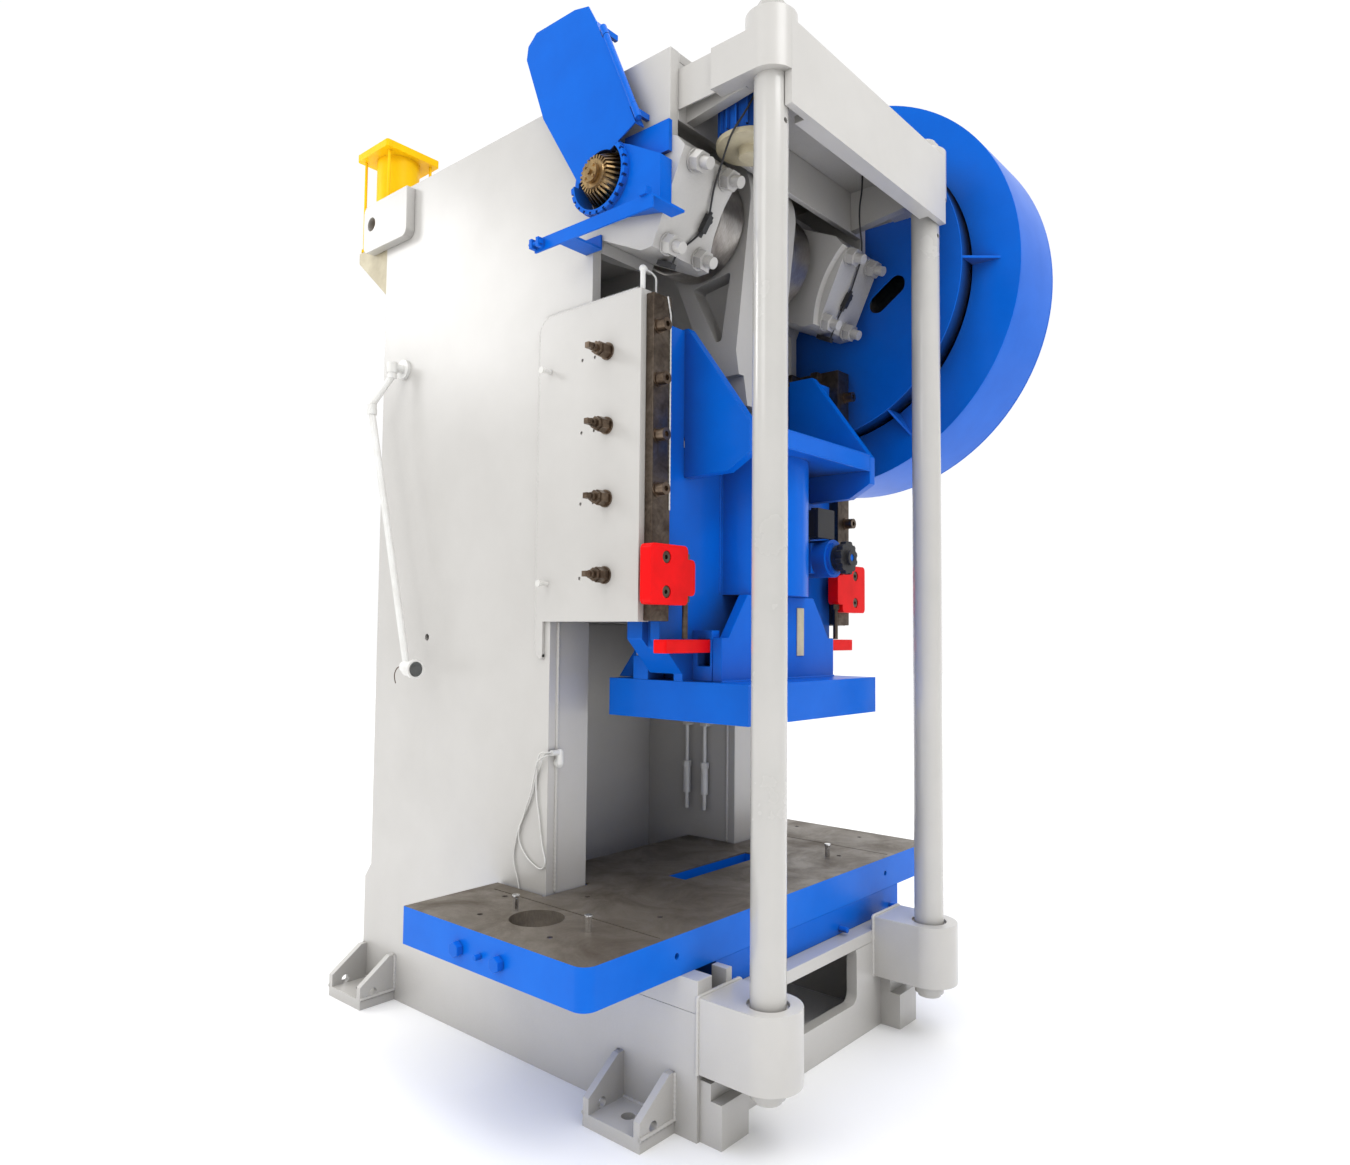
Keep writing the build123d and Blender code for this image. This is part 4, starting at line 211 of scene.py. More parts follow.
def paint_group():
    """Cloudy, slightly dusty paint, with painted shade in corners and undersides: colour, roughness and a
    fine ripple height.
    """
    tree, start, end = group(
        "paint film",
        [("Paint", "Color", rgba((0.5, 0.5, 0.5))), ("Thin", "Color", rgba((0.4, 0.4, 0.4))),
         ("Cloud scale", "Float", 3.0), ("Dust", "Float", 0.15), ("Gloss", "Float", 0.35),
         ("Shade and dirt", "Float", 0.5), ("Shade reach", "Float", 0.12)],
        [("Color", "Color"), ("Roughness", "Float"), ("Height", "Float")])
    given = start.outputs
    spot = add(tree, "ShaderNodeTexCoord")
    cloud = add(tree, "ShaderNodeTexNoise", Detail=5.0, Roughness=0.6)
    join(tree, spot.outputs["Object"], cloud.inputs["Vector"])
    join(tree, given["Cloud scale"], cloud.inputs["Scale"])
    coat = mix_colours(tree, ramp(tree, cloud.outputs["Fac"], 0.35, 0.7), given["Paint"], given["Thin"])
    # dust lies where the surface looks up
    shape = add(tree, "ShaderNodeNewGeometry")
    part = add(tree, "ShaderNodeSeparateXYZ")
    join(tree, shape.outputs["Normal"], part.inputs["Vector"])
    upward = part.outputs["Z"]
    dust = maths(tree, "MULTIPLY", ramp(tree, upward, 0.5, 1.0), given["Dust"])
    dusty = mix_colours(tree, dust, coat, DUST_TONE)
    # painted shade, with a little dirt in it: darker where two faces stand close, and most on faces that
    # look down
    corner = add(tree, "ShaderNodeAmbientOcclusion", samples=4)
    join(tree, given["Shade reach"], corner.inputs["Distance"])
    corner_shade = ramp(tree, corner.outputs["AO"], 0.75, 0.15)
    underside_shade = ramp(tree, upward, 0.2, -0.5, 0.35, 1.0)
    shade_and_dirt = maths(tree, "MULTIPLY", maths(tree, "MULTIPLY", corner_shade, underside_shade), given["Shade and dirt"])
    join(tree, mix_colours(tree, shade_and_dirt, dusty, SHADE_AND_DIRT_TONE), end.inputs["Color"])
    # the coat is duller where it is thin, and ripples finely
    dull = maths(tree, "MULTIPLY_ADD", cloud.outputs["Fac"], 0.12, given["Gloss"])
    join(tree, dull, end.inputs["Roughness"])
    ripple = add(tree, "ShaderNodeTexNoise", Scale=55.0, Detail=2.0)
    join(tree, spot.outputs["Object"], ripple.inputs["Vector"])
    join(tree, ripple.outputs["Fac"], end.inputs["Height"])
    return tree


paint_film = paint_group()
print("paint film inputs:", [s.name for s in paint_film.interface.items_tree if s.in_out == "INPUT"])


# %% [markdown]
# ## One paint after another
# Each paint is the same film with its own two colours: the full coat and the thinner one. What is
# the same all over, such as the clear gloss on top, is set on the Principled shader itself, since
# an exported model keeps plain numbers there and loses wired ones.

# %% Painted finish
RIPPLE, RIPPLE_DEPTH = 0.02, 0.002


# one value sets how dark the painted shade in corners and under pieces is, with a little dirt in it;
# reach sets how far it spreads
def painted(name, paint, thin, gloss, dust=0.12, cloud=3.0, coat=0.0, shade_and_dirt=0.5, reach=0.12,
            sheen=0.5, gleam=0.12):
    """Painted metal from the paint group."""
    material, tree, shader = new_material(name)
    film = add(tree, "ShaderNodeGroup", (-500, 0), node_tree=paint_film)
    fill(film, {"Paint": rgba(paint), "Thin": rgba(thin), "Cloud scale": cloud, "Dust": dust,
                "Gloss": gloss, "Shade and dirt": shade_and_dirt, "Shade reach": reach})
    lead_into(tree, film, shader, RIPPLE, RIPPLE_DEPTH)
    fill(shader, {"Specular IOR Level": sheen, "Coat Weight": coat, "Coat Roughness": gleam})
    return material


print("painted() makes a material from two colours and a gloss")


# %% [markdown]
# ## Bare metal
# Bare steel shows the marks of the tool that cut it, and oil stains that brown with time. The
# shader's own anisotropy would stretch the highlights but show no marks. The group below draws
# fine lines along one direction by stretching a noise, and lays blotches over them. It serves the
# bolster's ground top, the crankshaft, the guides and the screws.

# %% Metal group


def metal_group():
    """Machined metal: fine lines and stain blotches."""
    tree, start, end = group(
        "machined metal",
        [("Metal", "Color", rgba((0.5, 0.5, 0.5))), ("Stain", "Color", rgba((0.2, 0.15, 0.1))),
         ("Stain share", "Float", 0.5), ("Stretch", "Vector", (1.0, 1.0, 1.0)),
         ("Stain scale", "Float", 4.0), ("Rough", "Float", 0.35)],
        [("Color", "Color"), ("Roughness", "Float"), ("Height", "Float")])
    given = start.outputs
    spot = add(tree, "ShaderNodeTexCoord")
    # tool marks: a noise that is stretched along the cut
    stretch = add(tree, "ShaderNodeVectorMath", operation="MULTIPLY")
    join(tree, spot.outputs["Object"], stretch.inputs[0])
    join(tree, given["Stretch"], stretch.inputs[1])
    lines = add(tree, "ShaderNodeTexNoise", Scale=60.0, Detail=3.0)
    join(tree, stretch.outputs["Vector"], lines.inputs["Vector"])
    # stains: a coarse noise with a soft limit
    blotch = add(tree, "ShaderNodeTexNoise", Detail=8.0, Roughness=0.65, Distortion=0.6)
    join(tree, spot.outputs["Object"], blotch.inputs["Vector"])
    join(tree, given["Stain scale"], blotch.inputs["Scale"])
    share = maths(tree, "MULTIPLY", ramp(tree, blotch.outputs["Fac"], 0.38, 0.68), given["Stain share"])
    stained = mix_colours(tree, share, given["Metal"], given["Stain"])
    drawn = add(tree, "ShaderNodeVectorMath", operation="SCALE")
    join(tree, stained, drawn.inputs[0])
    join(tree, ramp(tree, lines.outputs["Fac"], 0.3, 0.7, 0.82, 1.12), drawn.inputs["Scale"])
    join(tree, drawn.outputs["Vector"], end.inputs["Color"])
    dull = maths(tree, "MULTIPLY_ADD", share, 0.25, given["Rough"])
    join(tree, dull, end.inputs["Roughness"])
    join(tree, lines.outputs["Fac"], end.inputs["Height"])
    return tree


machined = metal_group()
print("machined metal nodes:", len(machined.nodes))

# %% [markdown]
# ## One metal after another
# Polished pins, cut steel and oiled screws differ in tone, in how much of them is stained and in
# how rough they are, so one function with these values makes them all. The group's place in the
# material is a function of its own, because the two-finish materials below need it as well.

# %% Bare finish
LINE_DEPTH = 0.001


def metal_face(tree, colour, stain, share, rough, stretch, scale):
    """The metal group placed in a material with its own values."""
    face = add(tree, "ShaderNodeGroup", (-500, 0), node_tree=machined)
    fill(face, {"Metal": rgba(colour), "Stain": rgba(stain), "Stain share": share,
                "Stretch": stretch, "Stain scale": scale, "Rough": rough})
    return face


def metal(name, colour, stain, share=0.5, rough=0.3, stretch=(1, 1, 1), scale=6.0, lines=0.1):
    """Bare metal from the metal group."""
    material, tree, shader = new_material(name)
    face = metal_face(tree, colour, stain, share, rough, stretch, scale)
    lead_into(tree, face, shader, lines, LINE_DEPTH)
    shader.inputs["Metallic"].default_value = 1.0
    return material


print("metal() makes a material from a metal and a stain")


# %% [markdown]
# ## The finishes of this press
# The frame is a warm pale grey, the moving and guarding pieces are a strong gloss blue, the stops
# are red and the air cylinder is yellow. Screws and guides are dark oiled steel. Base colours are
# linear numbers, so they are darker than the tones seen in the picture, and the blue has next to
# no red in it, or the white room would wash it out.

# %% Finishes
# each paint's corner darkening below is painted shade in corners and under pieces, with a little dirt in
# it
GREY = painted("frame_grey", (0.56, 0.545, 0.52), (0.525, 0.51, 0.485), 0.32, dust=0.05, coat=0.8,
               shade_and_dirt=0.85, reach=0.4, gleam=0.3)
COLUMN = painted("column_grey", (0.55, 0.535, 0.51), (0.51, 0.50, 0.475), 0.20, coat=0.7, shade_and_dirt=0.7)
BLUE = painted("machine_blue", (0.0004, 0.13, 0.66), (0.0004, 0.115, 0.60), 0.26, dust=0.0,
               cloud=5.0, coat=0.1, shade_and_dirt=0.9, reach=0.3, sheen=0.08)
RED = painted("stop_red", (0.90, 0.002, 0.004), (0.75, 0.002, 0.003), 0.32, dust=0.0, cloud=9.0,
              sheen=0.12)
YELLOW = painted("cylinder_yellow", (1.0, 0.62, 0.003), (0.95, 0.54, 0.003), 0.34, dust=0.0,
                 cloud=9.0, sheen=0.12)
CREAM = painted("plate_cream", (0.60, 0.54, 0.38), (0.46, 0.40, 0.27), 0.45, cloud=12.0)
WHITE = painted("enamel_white", (0.80, 0.80, 0.78), (0.72, 0.71, 0.68), 0.28, cloud=14.0, coat=0.4)
BLACK = painted("switch_black", (0.012, 0.012, 0.014), (0.02, 0.02, 0.022), 0.42, cloud=14.0)
BRIGHT = metal("crank_steel", (0.40, 0.38, 0.36), (0.15, 0.12, 0.10), share=0.6, stretch=(6, 1, 1))
DARK = metal("oiled_steel", (0.15, 0.12, 0.095), (0.05, 0.035, 0.025), share=0.8, rough=0.34, scale=14)
CHROME = metal("pin_chrome", (0.75, 0.75, 0.76), (0.5, 0.5, 0.5), share=0.2, rough=0.14, lines=0.02)
BRONZE = metal("gear_bronze", (0.50, 0.34, 0.16), (0.12, 0.07, 0.035), share=0.9, rough=0.26, scale=16)
WHITE_SHEATH = painted("sheath_white", (0.78, 0.78, 0.76), (0.66, 0.65, 0.62), 0.42, cloud=20.0)
BROWN_SHEATH = painted("sheath_brown", (0.09, 0.04, 0.018), (0.05, 0.025, 0.012), 0.45, cloud=20.0)
print("materials so far:", len(bpy.data.materials))

# %% [markdown]
# ## Two finishes on one piece
# The bolster is one steel plate that was painted blue all round and then ground on top, so the
# paint ends at the edge. The side screws are oiled steel, while the plain pins beside them were
# painted over. Each face could be given its own material slot, but the groove walls and the hole
# would have to be picked by hand. A mask from the piece's own coordinates finds them instead.

# %% Masked finishes


def beyond(tree, value, limit, below=False):
    """1 where a value passes a limit, 0 elsewhere."""
    return maths(tree, "LESS_THAN" if below else "GREATER_THAN", value, limit)


def joined(tree, operation, masks):
    """Masks joined one after another with a math operation."""
    result = masks[0]
    for mask in masks[1:]:
        result = maths(tree, operation, result, mask)
    return result


def all_of(tree, *masks):
    """1 where every mask is 1."""
    return joined(tree, "MULTIPLY", masks)


def any_of(tree, *masks):
    """1 where at least one mask is 1."""
    return joined(tree, "MAXIMUM", masks)


def blend_values(tree, mask, first, second):
    """Value that is first where the mask is 0 and second where it is 1."""
    mix = add(tree, "ShaderNodeMapRange")
    join(tree, mask, mix.inputs["Value"])
    join(tree, first, mix.inputs["To Min"])
    join(tree, second, mix.inputs["To Max"])
    return mix.outputs["Result"]


def two_finishes(name, film_values, steel_values, metallic, mask_of):
    """Paint where the mask is 0 and bare steel where it is 1."""
    material, tree, shader = new_material(name)
    film = add(tree, "ShaderNodeGroup", (-700, 200), node_tree=paint_film)
    fill(film, film_values)
    steel = metal_face(tree, **steel_values)
    spot = add(tree, "ShaderNodeTexCoord", (-1200, 0))
    place = add(tree, "ShaderNodeSeparateXYZ", (-1000, 0))
    join(tree, spot.outputs["Object"], place.inputs["Vector"])
    shape = add(tree, "ShaderNodeNewGeometry", (-1200, -200))
    facing = add(tree, "ShaderNodeSeparateXYZ", (-1000, -200))
    join(tree, shape.outputs["Normal"], facing.inputs["Vector"])
    mask = mask_of(tree, spot, place, facing)
    colour = mix_colours(tree, mask, film.outputs["Color"], steel.outputs["Color"])
    join(tree, colour, shader.inputs["Base Color"])
    rough = blend_values(tree, mask, film.outputs["Roughness"], steel.outputs["Roughness"])
    join(tree, rough, shader.inputs["Roughness"])
    join(tree, maths(tree, "MULTIPLY", mask, metallic), shader.inputs["Metallic"])
    shader.inputs["Specular IOR Level"].default_value = 0.15
    bump = add(tree, "ShaderNodeBump", (-250, -300), Strength=0.08, Distance=0.001)
    join(tree, steel.outputs["Height"], bump.inputs["Height"])
    join(tree, bump.outputs["Normal"], shader.inputs["Normal"])
    return material


print("two_finishes() joins a paint and a steel by a mask")

# %% [markdown]
# ## Where the steel is bare
# On the bolster the steel is bare on faces that look up near the plate's top, in the two cross
# grooves, and on the wall of the die hole, but a narrow rim all round stays blue. On the side
# screws a single limit is enough, since the painted pins all lie behind it.

# %% Masks of the bolster and the screws
bolster_low, bolster_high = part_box("bolster")
DIE_HOLE = (-0.838, -0.460, 0.0)
DIE_HOLE_REACH = 0.0935
GROUND_DEPTH = 0.006
PAINTED_RIM = 0.018
PIN_LINE = -0.30


def ground_top(tree, spot, place, facing):
    """Upward faces at the plate's top, the grooves, and the wall of the round hole."""
    near_top = beyond(tree, place.outputs["Z"], bolster_high[2] - GROUND_DEPTH)
    top = all_of(tree, near_top, beyond(tree, facing.outputs["Z"], 0.6))
    grooves = all_of(tree, near_top, beyond(tree, place.outputs["Y"], bolster_low[1] + PAINTED_RIM),
                     beyond(tree, place.outputs["X"], bolster_low[0] + PAINTED_RIM),
                     beyond(tree, place.outputs["X"], bolster_high[0] - PAINTED_RIM, below=True))
    flat = add(tree, "ShaderNodeVectorMath", operation="MULTIPLY")
    join(tree, spot.outputs["Object"], flat.inputs[0])
    flat.inputs[1].default_value = (1, 1, 0)
    far = add(tree, "ShaderNodeVectorMath", operation="DISTANCE")
    join(tree, flat.outputs["Vector"], far.inputs[0])
    far.inputs[1].default_value = DIE_HOLE
    bore = beyond(tree, far.outputs["Value"], DIE_HOLE_REACH, below=True)
    return any_of(tree, top, bore, grooves)


def not_the_pins(tree, spot, place, facing):
    """Everything in front of the painted pins."""
    return beyond(tree, place.outputs["Y"], PIN_LINE, below=True)


print("bolster top at", round(bolster_high[2], 3), "m")

# %% Two masked materials
# the darkening value of each film below is painted shade in corners and under the piece, with a little
# dirt in it
BOLSTER_PAINT = {"Paint": rgba((0.0005, 0.15, 0.72)), "Thin": rgba((0.0005, 0.13, 0.66)),
                 "Cloud scale": 5.0, "Dust": 0.0, "Gloss": 0.26, "Shade and dirt": 0.4}
BOLSTER_STEEL = {"colour": (0.20, 0.175, 0.145), "stain": (0.10, 0.08, 0.06), "share": 0.9,
                 "rough": 0.36, "stretch": (1.0, 14.0, 1.0), "scale": 5.0}
BOLSTER = two_finishes("bolster_ground", BOLSTER_PAINT, BOLSTER_STEEL, 0.45, ground_top)
PIN_PAINT = {"Paint": rgba((0.78, 0.77, 0.74)), "Thin": rgba((0.70, 0.69, 0.66)),
             "Cloud scale": 14.0, "Dust": 0.1, "Gloss": 0.3, "Shade and dirt": 0.2}
SCREW_STEEL = {"colour": (0.20, 0.15, 0.11), "stain": (0.06, 0.04, 0.028), "share": 0.8,
               "rough": 0.30, "stretch": (1, 1, 1), "scale": 16.0}
SCREWS = two_finishes("screws_and_pins", PIN_PAINT, SCREW_STEEL, 1.0, not_the_pins)

print("two finishes:", BOLSTER.name, "and", SCREWS.name)

# %% [markdown]
# ## The lamp's lens and the list of finishes
# The work lamp has a small lens of moulded glass. Clear glass would show the empty head, so a fine
# noise on the normal frosts it. With that the list is complete, and each slot of the solid model
# gets its finish by name.

# %% Lens and list
GLASS, lens_tree, glass = new_material("lamp_glass")
fill(glass, {"Base Color": rgba((0.85, 0.9, 0.9)), "Roughness": 0.08, "Transmission Weight": 0.9})
frost = add(lens_tree, "ShaderNodeTexNoise", Scale=400.0)
frosted = add(lens_tree, "ShaderNodeBump", Strength=0.1, Distance=0.0005)
join(lens_tree, frost.outputs["Fac"], frosted.inputs["Height"])
join(lens_tree, frosted.outputs["Normal"], glass.inputs["Normal"])

finish_of = {
    "cream_paint": CREAM, "chrome": CHROME, "blue_paint": BLUE, "bronze": BRONZE,
    "bright_steel": BRIGHT, "dark_steel": DARK, "red_paint": RED, "black_plastic": BLACK,
    "white_paint": WHITE, "yellow_paint": YELLOW, "grey_paint": GREY, "bare_plate": BOLSTER,
    "lamp_lens": GLASS, "white_cable": WHITE_SHEATH, "brown_cable": BROWN_SHEATH,
}
special = {"tie_rods": COLUMN, "gib_bolts": SCREWS}
print("finishes:", len(finish_of) + len(special))

# %% [markdown]
# ## Softer edges
# A solid model has knife-sharp edges that no casting or flame-cut plate has, and they catch no
# light. Welding the loose triangles, merging the flat ones and adding a small bevel gives each
# edge its bright line. A tiny geometry tree then marks the sharp edges, so round parts shade
# smoothly, and weighted normals keep the large faces flat.

# %% Tree that shades by angle
SMOOTH_ANGLE = math.radians(28)


def smooth_tree():
    """Geometry tree that shades smoothly except across edges sharper than the given angle."""
    tree = bpy.data.node_groups.new("shade by angle", "GeometryNodeTree")
    tree.interface.new_socket("Geometry", in_out="INPUT", socket_type="NodeSocketGeometry")
    limit = tree.interface.new_socket("Angle", in_out="INPUT", socket_type="NodeSocketFloat")
    limit.default_value = SMOOTH_ANGLE
    tree.interface.new_socket("Geometry", in_out="OUTPUT", socket_type="NodeSocketGeometry")
    start, end = tree.nodes.new("NodeGroupInput"), tree.nodes.new("NodeGroupOutput")
    angle = add(tree, "GeometryNodeInputMeshEdgeAngle")
    sharp = add(tree, "FunctionNodeCompare", data_type="FLOAT", operation="GREATER_THAN")
    join(tree, angle.outputs["Unsigned Angle"], sharp.inputs["A"])
    join(tree, start.outputs["Angle"], sharp.inputs["B"])
    mark = add(tree, "GeometryNodeStoreNamedAttribute", data_type="BOOLEAN", domain="EDGE")
    mark.inputs["Name"].default_value = "sharp_edge"
    join(tree, start.outputs["Geometry"], mark.inputs["Geometry"])
    join(tree, sharp.outputs["Result"], mark.inputs["Value"])
    shade = add(tree, "GeometryNodeSetShadeSmooth")
    join(tree, mark.outputs["Geometry"], shade.inputs["Geometry"])
    join(tree, shade.outputs["Geometry"], end.inputs["Geometry"])
    return tree


shade_by_angle = smooth_tree()
print("shading angle:", round(math.degrees(SMOOTH_ANGLE)), "degrees")

# %% [markdown]
# ## Live modifiers on every piece
# The bevel could be cut into each mesh, but live modifiers leave the solid model's mesh as it
# came. Castings and plates get three millimetres of rounding, small pieces less, and the finest
# ones none, because a bevel wider than a tooth would eat it.

# %% Edge tools
SAME_POINT = 0.00002
FLAT_ANGLE, BEVEL_ANGLE = math.radians(1), math.radians(35)
USUAL_EDGE = 0.003


def soften(piece, width):
    """Weld, merge flats, bevel and smooth a piece with live modifiers."""
    weld = piece.modifiers.new("weld", "WELD")
    weld.merge_threshold = SAME_POINT
    merge = piece.modifiers.new("flats", "DECIMATE")
    merge.decimate_type = "DISSOLVE"
    merge.angle_limit = FLAT_ANGLE
    if width:
        bevel = piece.modifiers.new("edges", "BEVEL")
        bevel.width = width
        bevel.segments = 2
        bevel.limit_method = "ANGLE"
        bevel.angle_limit = BEVEL_ANGLE
        bevel.harden_normals = False
    shade = piece.modifiers.new("shade", "NODES")
    shade.node_group = shade_by_angle
    weigh = piece.modifiers.new("weigh", "WEIGHTED_NORMAL")
    weigh.keep_sharp = True


print("usual edge:", USUAL_EDGE * 1000, "mm")

# %% Dress every piece of the frame
edge_width = {"bevel_gear": 0.0008, "bull_gear": 0.0, "gib_bolts": 0.002, "cap_studs": 0.002,
              "lamp_glass": 0.0, "adjust_motor": 0.001, "cream_plates": 0.001, "cap_sensors": 0.001}
slot_of = {row["node"]: row["material_slot"] for row in frame["record"]["subparts"]}
for name, piece in nodes.items():
    piece.data.materials.clear()
    piece.data.materials.append(special.get(name, finish_of[slot_of[name]]))
    soften(piece, edge_width.get(name, USUAL_EDGE))
print("dressed", len(nodes), "pieces")

# %% [markdown]
# ## Weld beads
# The frame, the feet and the ram are welded from plates, and a bead runs along each joint. A bead
# is a small rounded ridge with a ripple from each stop of the torch. It could be a bevelled curve,
# but that stays as even as wire. The tree below takes plain lines, cuts them into even steps,
# swells and narrows the radius in turn, and sweeps a small ring along them. One tree serves every
# seam, so all the beads look laid by one hand.

# %% Bead tree
RIPPLE_TURN = 2.4
BEAD_SIDES = 8


def bead_tree():
    """Geometry tree that turns loose edges into rippled weld beads."""
    tree = bpy.data.node_groups.new("weld bead", "GeometryNodeTree")
    tree.interface.new_socket("Geometry", in_out="INPUT", socket_type="NodeSocketGeometry")
    for label, value in (("Bead radius", 0.005), ("Ripple step", 0.006), ("Ripple depth", 0.16)):
        socket = tree.interface.new_socket(label, in_out="INPUT", socket_type="NodeSocketFloat")
        socket.default_value = value
    tree.interface.new_socket("Paint", in_out="INPUT", socket_type="NodeSocketMaterial")
    tree.interface.new_socket("Geometry", in_out="OUTPUT", socket_type="NodeSocketGeometry")
    start, end = tree.nodes.new("NodeGroupInput"), tree.nodes.new("NodeGroupOutput")
    line = add(tree, "GeometryNodeMeshToCurve")
    join(tree, start.outputs["Geometry"], line.inputs["Mesh"])
    even = add(tree, "GeometryNodeResampleCurve", mode="LENGTH")
    join(tree, line.outputs["Curve"], even.inputs["Curve"])
    join(tree, start.outputs["Ripple step"], even.inputs["Length"])
    index = add(tree, "GeometryNodeInputIndex")
    wave = maths(tree, "MULTIPLY", index.outputs["Index"], RIPPLE_TURN)
    swell = maths(tree, "MULTIPLY_ADD", maths(tree, "SINE", wave), start.outputs["Ripple depth"], 1.0)
    width = maths(tree, "MULTIPLY", swell, start.outputs["Bead radius"])
    ring = add(tree, "GeometryNodeCurvePrimitiveCircle", mode="RADIUS")
    ring.inputs["Resolution"].default_value = BEAD_SIDES
    ring.inputs["Radius"].default_value = 1.0
    swept = add(tree, "GeometryNodeCurveToMesh")
    swept.inputs["Fill Caps"].default_value = True
    join(tree, even.outputs["Curve"], swept.inputs["Curve"])
    join(tree, ring.outputs["Curve"], swept.inputs["Profile Curve"])
    join(tree, width, swept.inputs["Scale"])
    smooth = add(tree, "GeometryNodeSetShadeSmooth")
    join(tree, swept.outputs["Mesh"], smooth.inputs["Geometry"])
    real = add(tree, "GeometryNodeRealizeInstances")
    join(tree, smooth.outputs["Geometry"], real.inputs["Geometry"])
    paint = add(tree, "GeometryNodeSetMaterial")
    join(tree, real.outputs["Geometry"], paint.inputs["Geometry"])
    join(tree, start.outputs["Paint"], paint.inputs["Material"])
    join(tree, paint.outputs["Geometry"], end.inputs["Geometry"])
    return tree


weld_bead = bead_tree()
print("weld bead nodes:", len(weld_bead.nodes))

# %% [markdown]
# ## From lines to a plain mesh
# A carrier mesh holds only the points and edges of the seams, and the tree turns them into beads.
# The modifier's inputs are set by their socket identifiers before anything is evaluated. The
# result is copied into a plain mesh and the carrier goes away, so that no live tree is left.

# %% Beads along lines


def seams(name, body, paint, lines, radius=0.007):
    """Weld beads along lines of points, as one plain mesh on one body."""
    mesh = bpy.data.meshes.new(name + "_lines")
    points = [p for line in lines for p in line]
    edges, first = [], 0
    for line in lines:
        edges += [(first + k, first + k + 1) for k in range(len(line) - 1)]
        first += len(line)
    mesh.from_pydata(points, edges, [])
    carrier = bpy.data.objects.new(name + "_carrier", mesh)
    bpy.context.scene.collection.objects.link(carrier)
    layer = carrier.modifiers.new("beads", "NODES")
    layer.node_group = weld_bead
    sockets = {s.name: s.identifier for s in weld_bead.interface.items_tree if s.in_out == "INPUT"}
    layer[sockets["Bead radius"]] = radius
    layer[sockets["Paint"]] = paint
    seen = carrier.evaluated_get(bpy.context.evaluated_depsgraph_get())
    beads = bpy.data.objects.new(name, bpy.data.meshes.new_from_object(seen))
    bpy.data.objects.remove(carrier)
    bpy.context.scene.collection.objects.link(beads)
    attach(beads, body)
    print(name, "faces", len(beads.data.polygons))


def arc(x, y, z, radius, start, stop, steps=8):
    """Points of an arc round a centre, in the plane of a side plate."""
    turns = [math.radians(start + (stop - start) * k / steps) for k in range(steps + 1)]
    return [(x, y + radius * math.cos(turn), z + radius * math.sin(turn)) for turn in turns]


def other_side(lines):
    """The same lines with their mirror images on the right of the press."""
    return lines + [[(-x, y, z) for x, y, z in line] for line in lines]


print("seams() makes one mesh from any number of lines")


# %% [markdown]
# ## Where the beads run
# Lines follow the plate joints of the frame: round the raised pads beside the head, up the inner
# posts, round the lugs and the feet. They are listed for the left side and mirrored for the right.

# %% Seams of the frame
SIDE = -0.644
SHOULDER = SIDE - 0.004
PAD_R, PAD_END = 0.06, -0.215
PAD_LOW, PAD_HIGH = 1.432, 2.664
pad_line = ([(SHOULDER, -0.70, PAD_HIGH)]
            + arc(SHOULDER, PAD_END - PAD_R, PAD_HIGH - PAD_R, PAD_R, 90, 0)
            + arc(SHOULDER, PAD_END - PAD_R / 2, PAD_LOW + PAD_R / 2, PAD_R / 2, 0, -90)
            + [(SHOULDER, -0.254, PAD_LOW)])
FOOT_HALF, FOOT_TOP = 0.12, 0.040
foot_lines = []
for middle in (-0.765, 0.765):
    for end in (middle - FOOT_HALF, middle + FOOT_HALF):
        foot_lines.append([(SIDE, end, FOOT_TOP + 0.002), (SIDE, end, 0.182)])
        foot_lines.append([(SIDE, end, FOOT_TOP), (SIDE - 0.156, end, FOOT_TOP)])
    foot_lines.append([(SIDE, middle - FOOT_HALF, FOOT_TOP), (SIDE, middle + FOOT_HALF, FOOT_TOP)])
lug_lines = [[(SIDE, -0.973, 0.201), (SIDE, -0.973, 0.427), (-0.432, -0.973, 0.427),
              (-0.432, -0.973, 0.201)]]
post_lines = [[(-0.604, -0.282, 0.602), (-0.604, -0.282, 1.556)],
              [(-0.451, -0.240, 0.602), (-0.451, -0.240, 1.556)]]
seams("frame_beads", "frame", GREY, other_side(foot_lines + lug_lines + post_lines))
seams("pad_beads", "frame", GREY, other_side([pad_line]), radius=0.009)

# %% [markdown]
# ## The ram's beads and the grease line
# The ram has its own beads, because it moves. A thin white grease line runs down the edge of the
# left gib; it is a bent tube, so the same tree draws it, with a smaller radius.

# %% Seams of the ram, and the grease line
gib_low, gib_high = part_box("gibs")
grease_y = gib_low[1] - 0.002
grease_line = [(-0.5640, grease_y, gib_high[2]), (-0.5480, grease_y, gib_high[2] - 0.06),
               (-0.5465, grease_y, 1.93)]
seams("grease_line", "frame", WHITE_SHEATH, [grease_line], radius=0.0028)
ram_lines = [[(-0.363, -0.838, 1.357), (0.363, -0.838, 1.357)],
             [(-0.215, -0.712, 1.665), (-0.215, -0.712, 2.165)],
             [(0.215, -0.712, 1.665), (0.215, -0.712, 2.165)],
             [(-0.421, -0.712, 1.357), (-0.363, -0.712, 1.357)],
             [(-0.381, -0.991, 2.167), (0.381, -0.991, 2.167)],
             [(-0.381, -0.991, 2.228), (0.381, -0.991, 2.228)],
             [(-0.381, -0.991, 2.228), (-0.381, -0.714, 2.228)],
             [(0.381, -0.991, 2.228), (0.381, -0.714, 2.228)]]
seams("ram_beads", "ram", BLUE, ram_lines, radius=0.004)

# %% [markdown]
# ## Cheek covers
# A thin plate closes the channel between each crown arm and the side plate behind it, a little
# back from the arm's face. It is trim that the solid model leaves open. A plain box of eight
# corners is enough, with its faces listed so that they all look outwards.

# %% Thin covers beside the crown


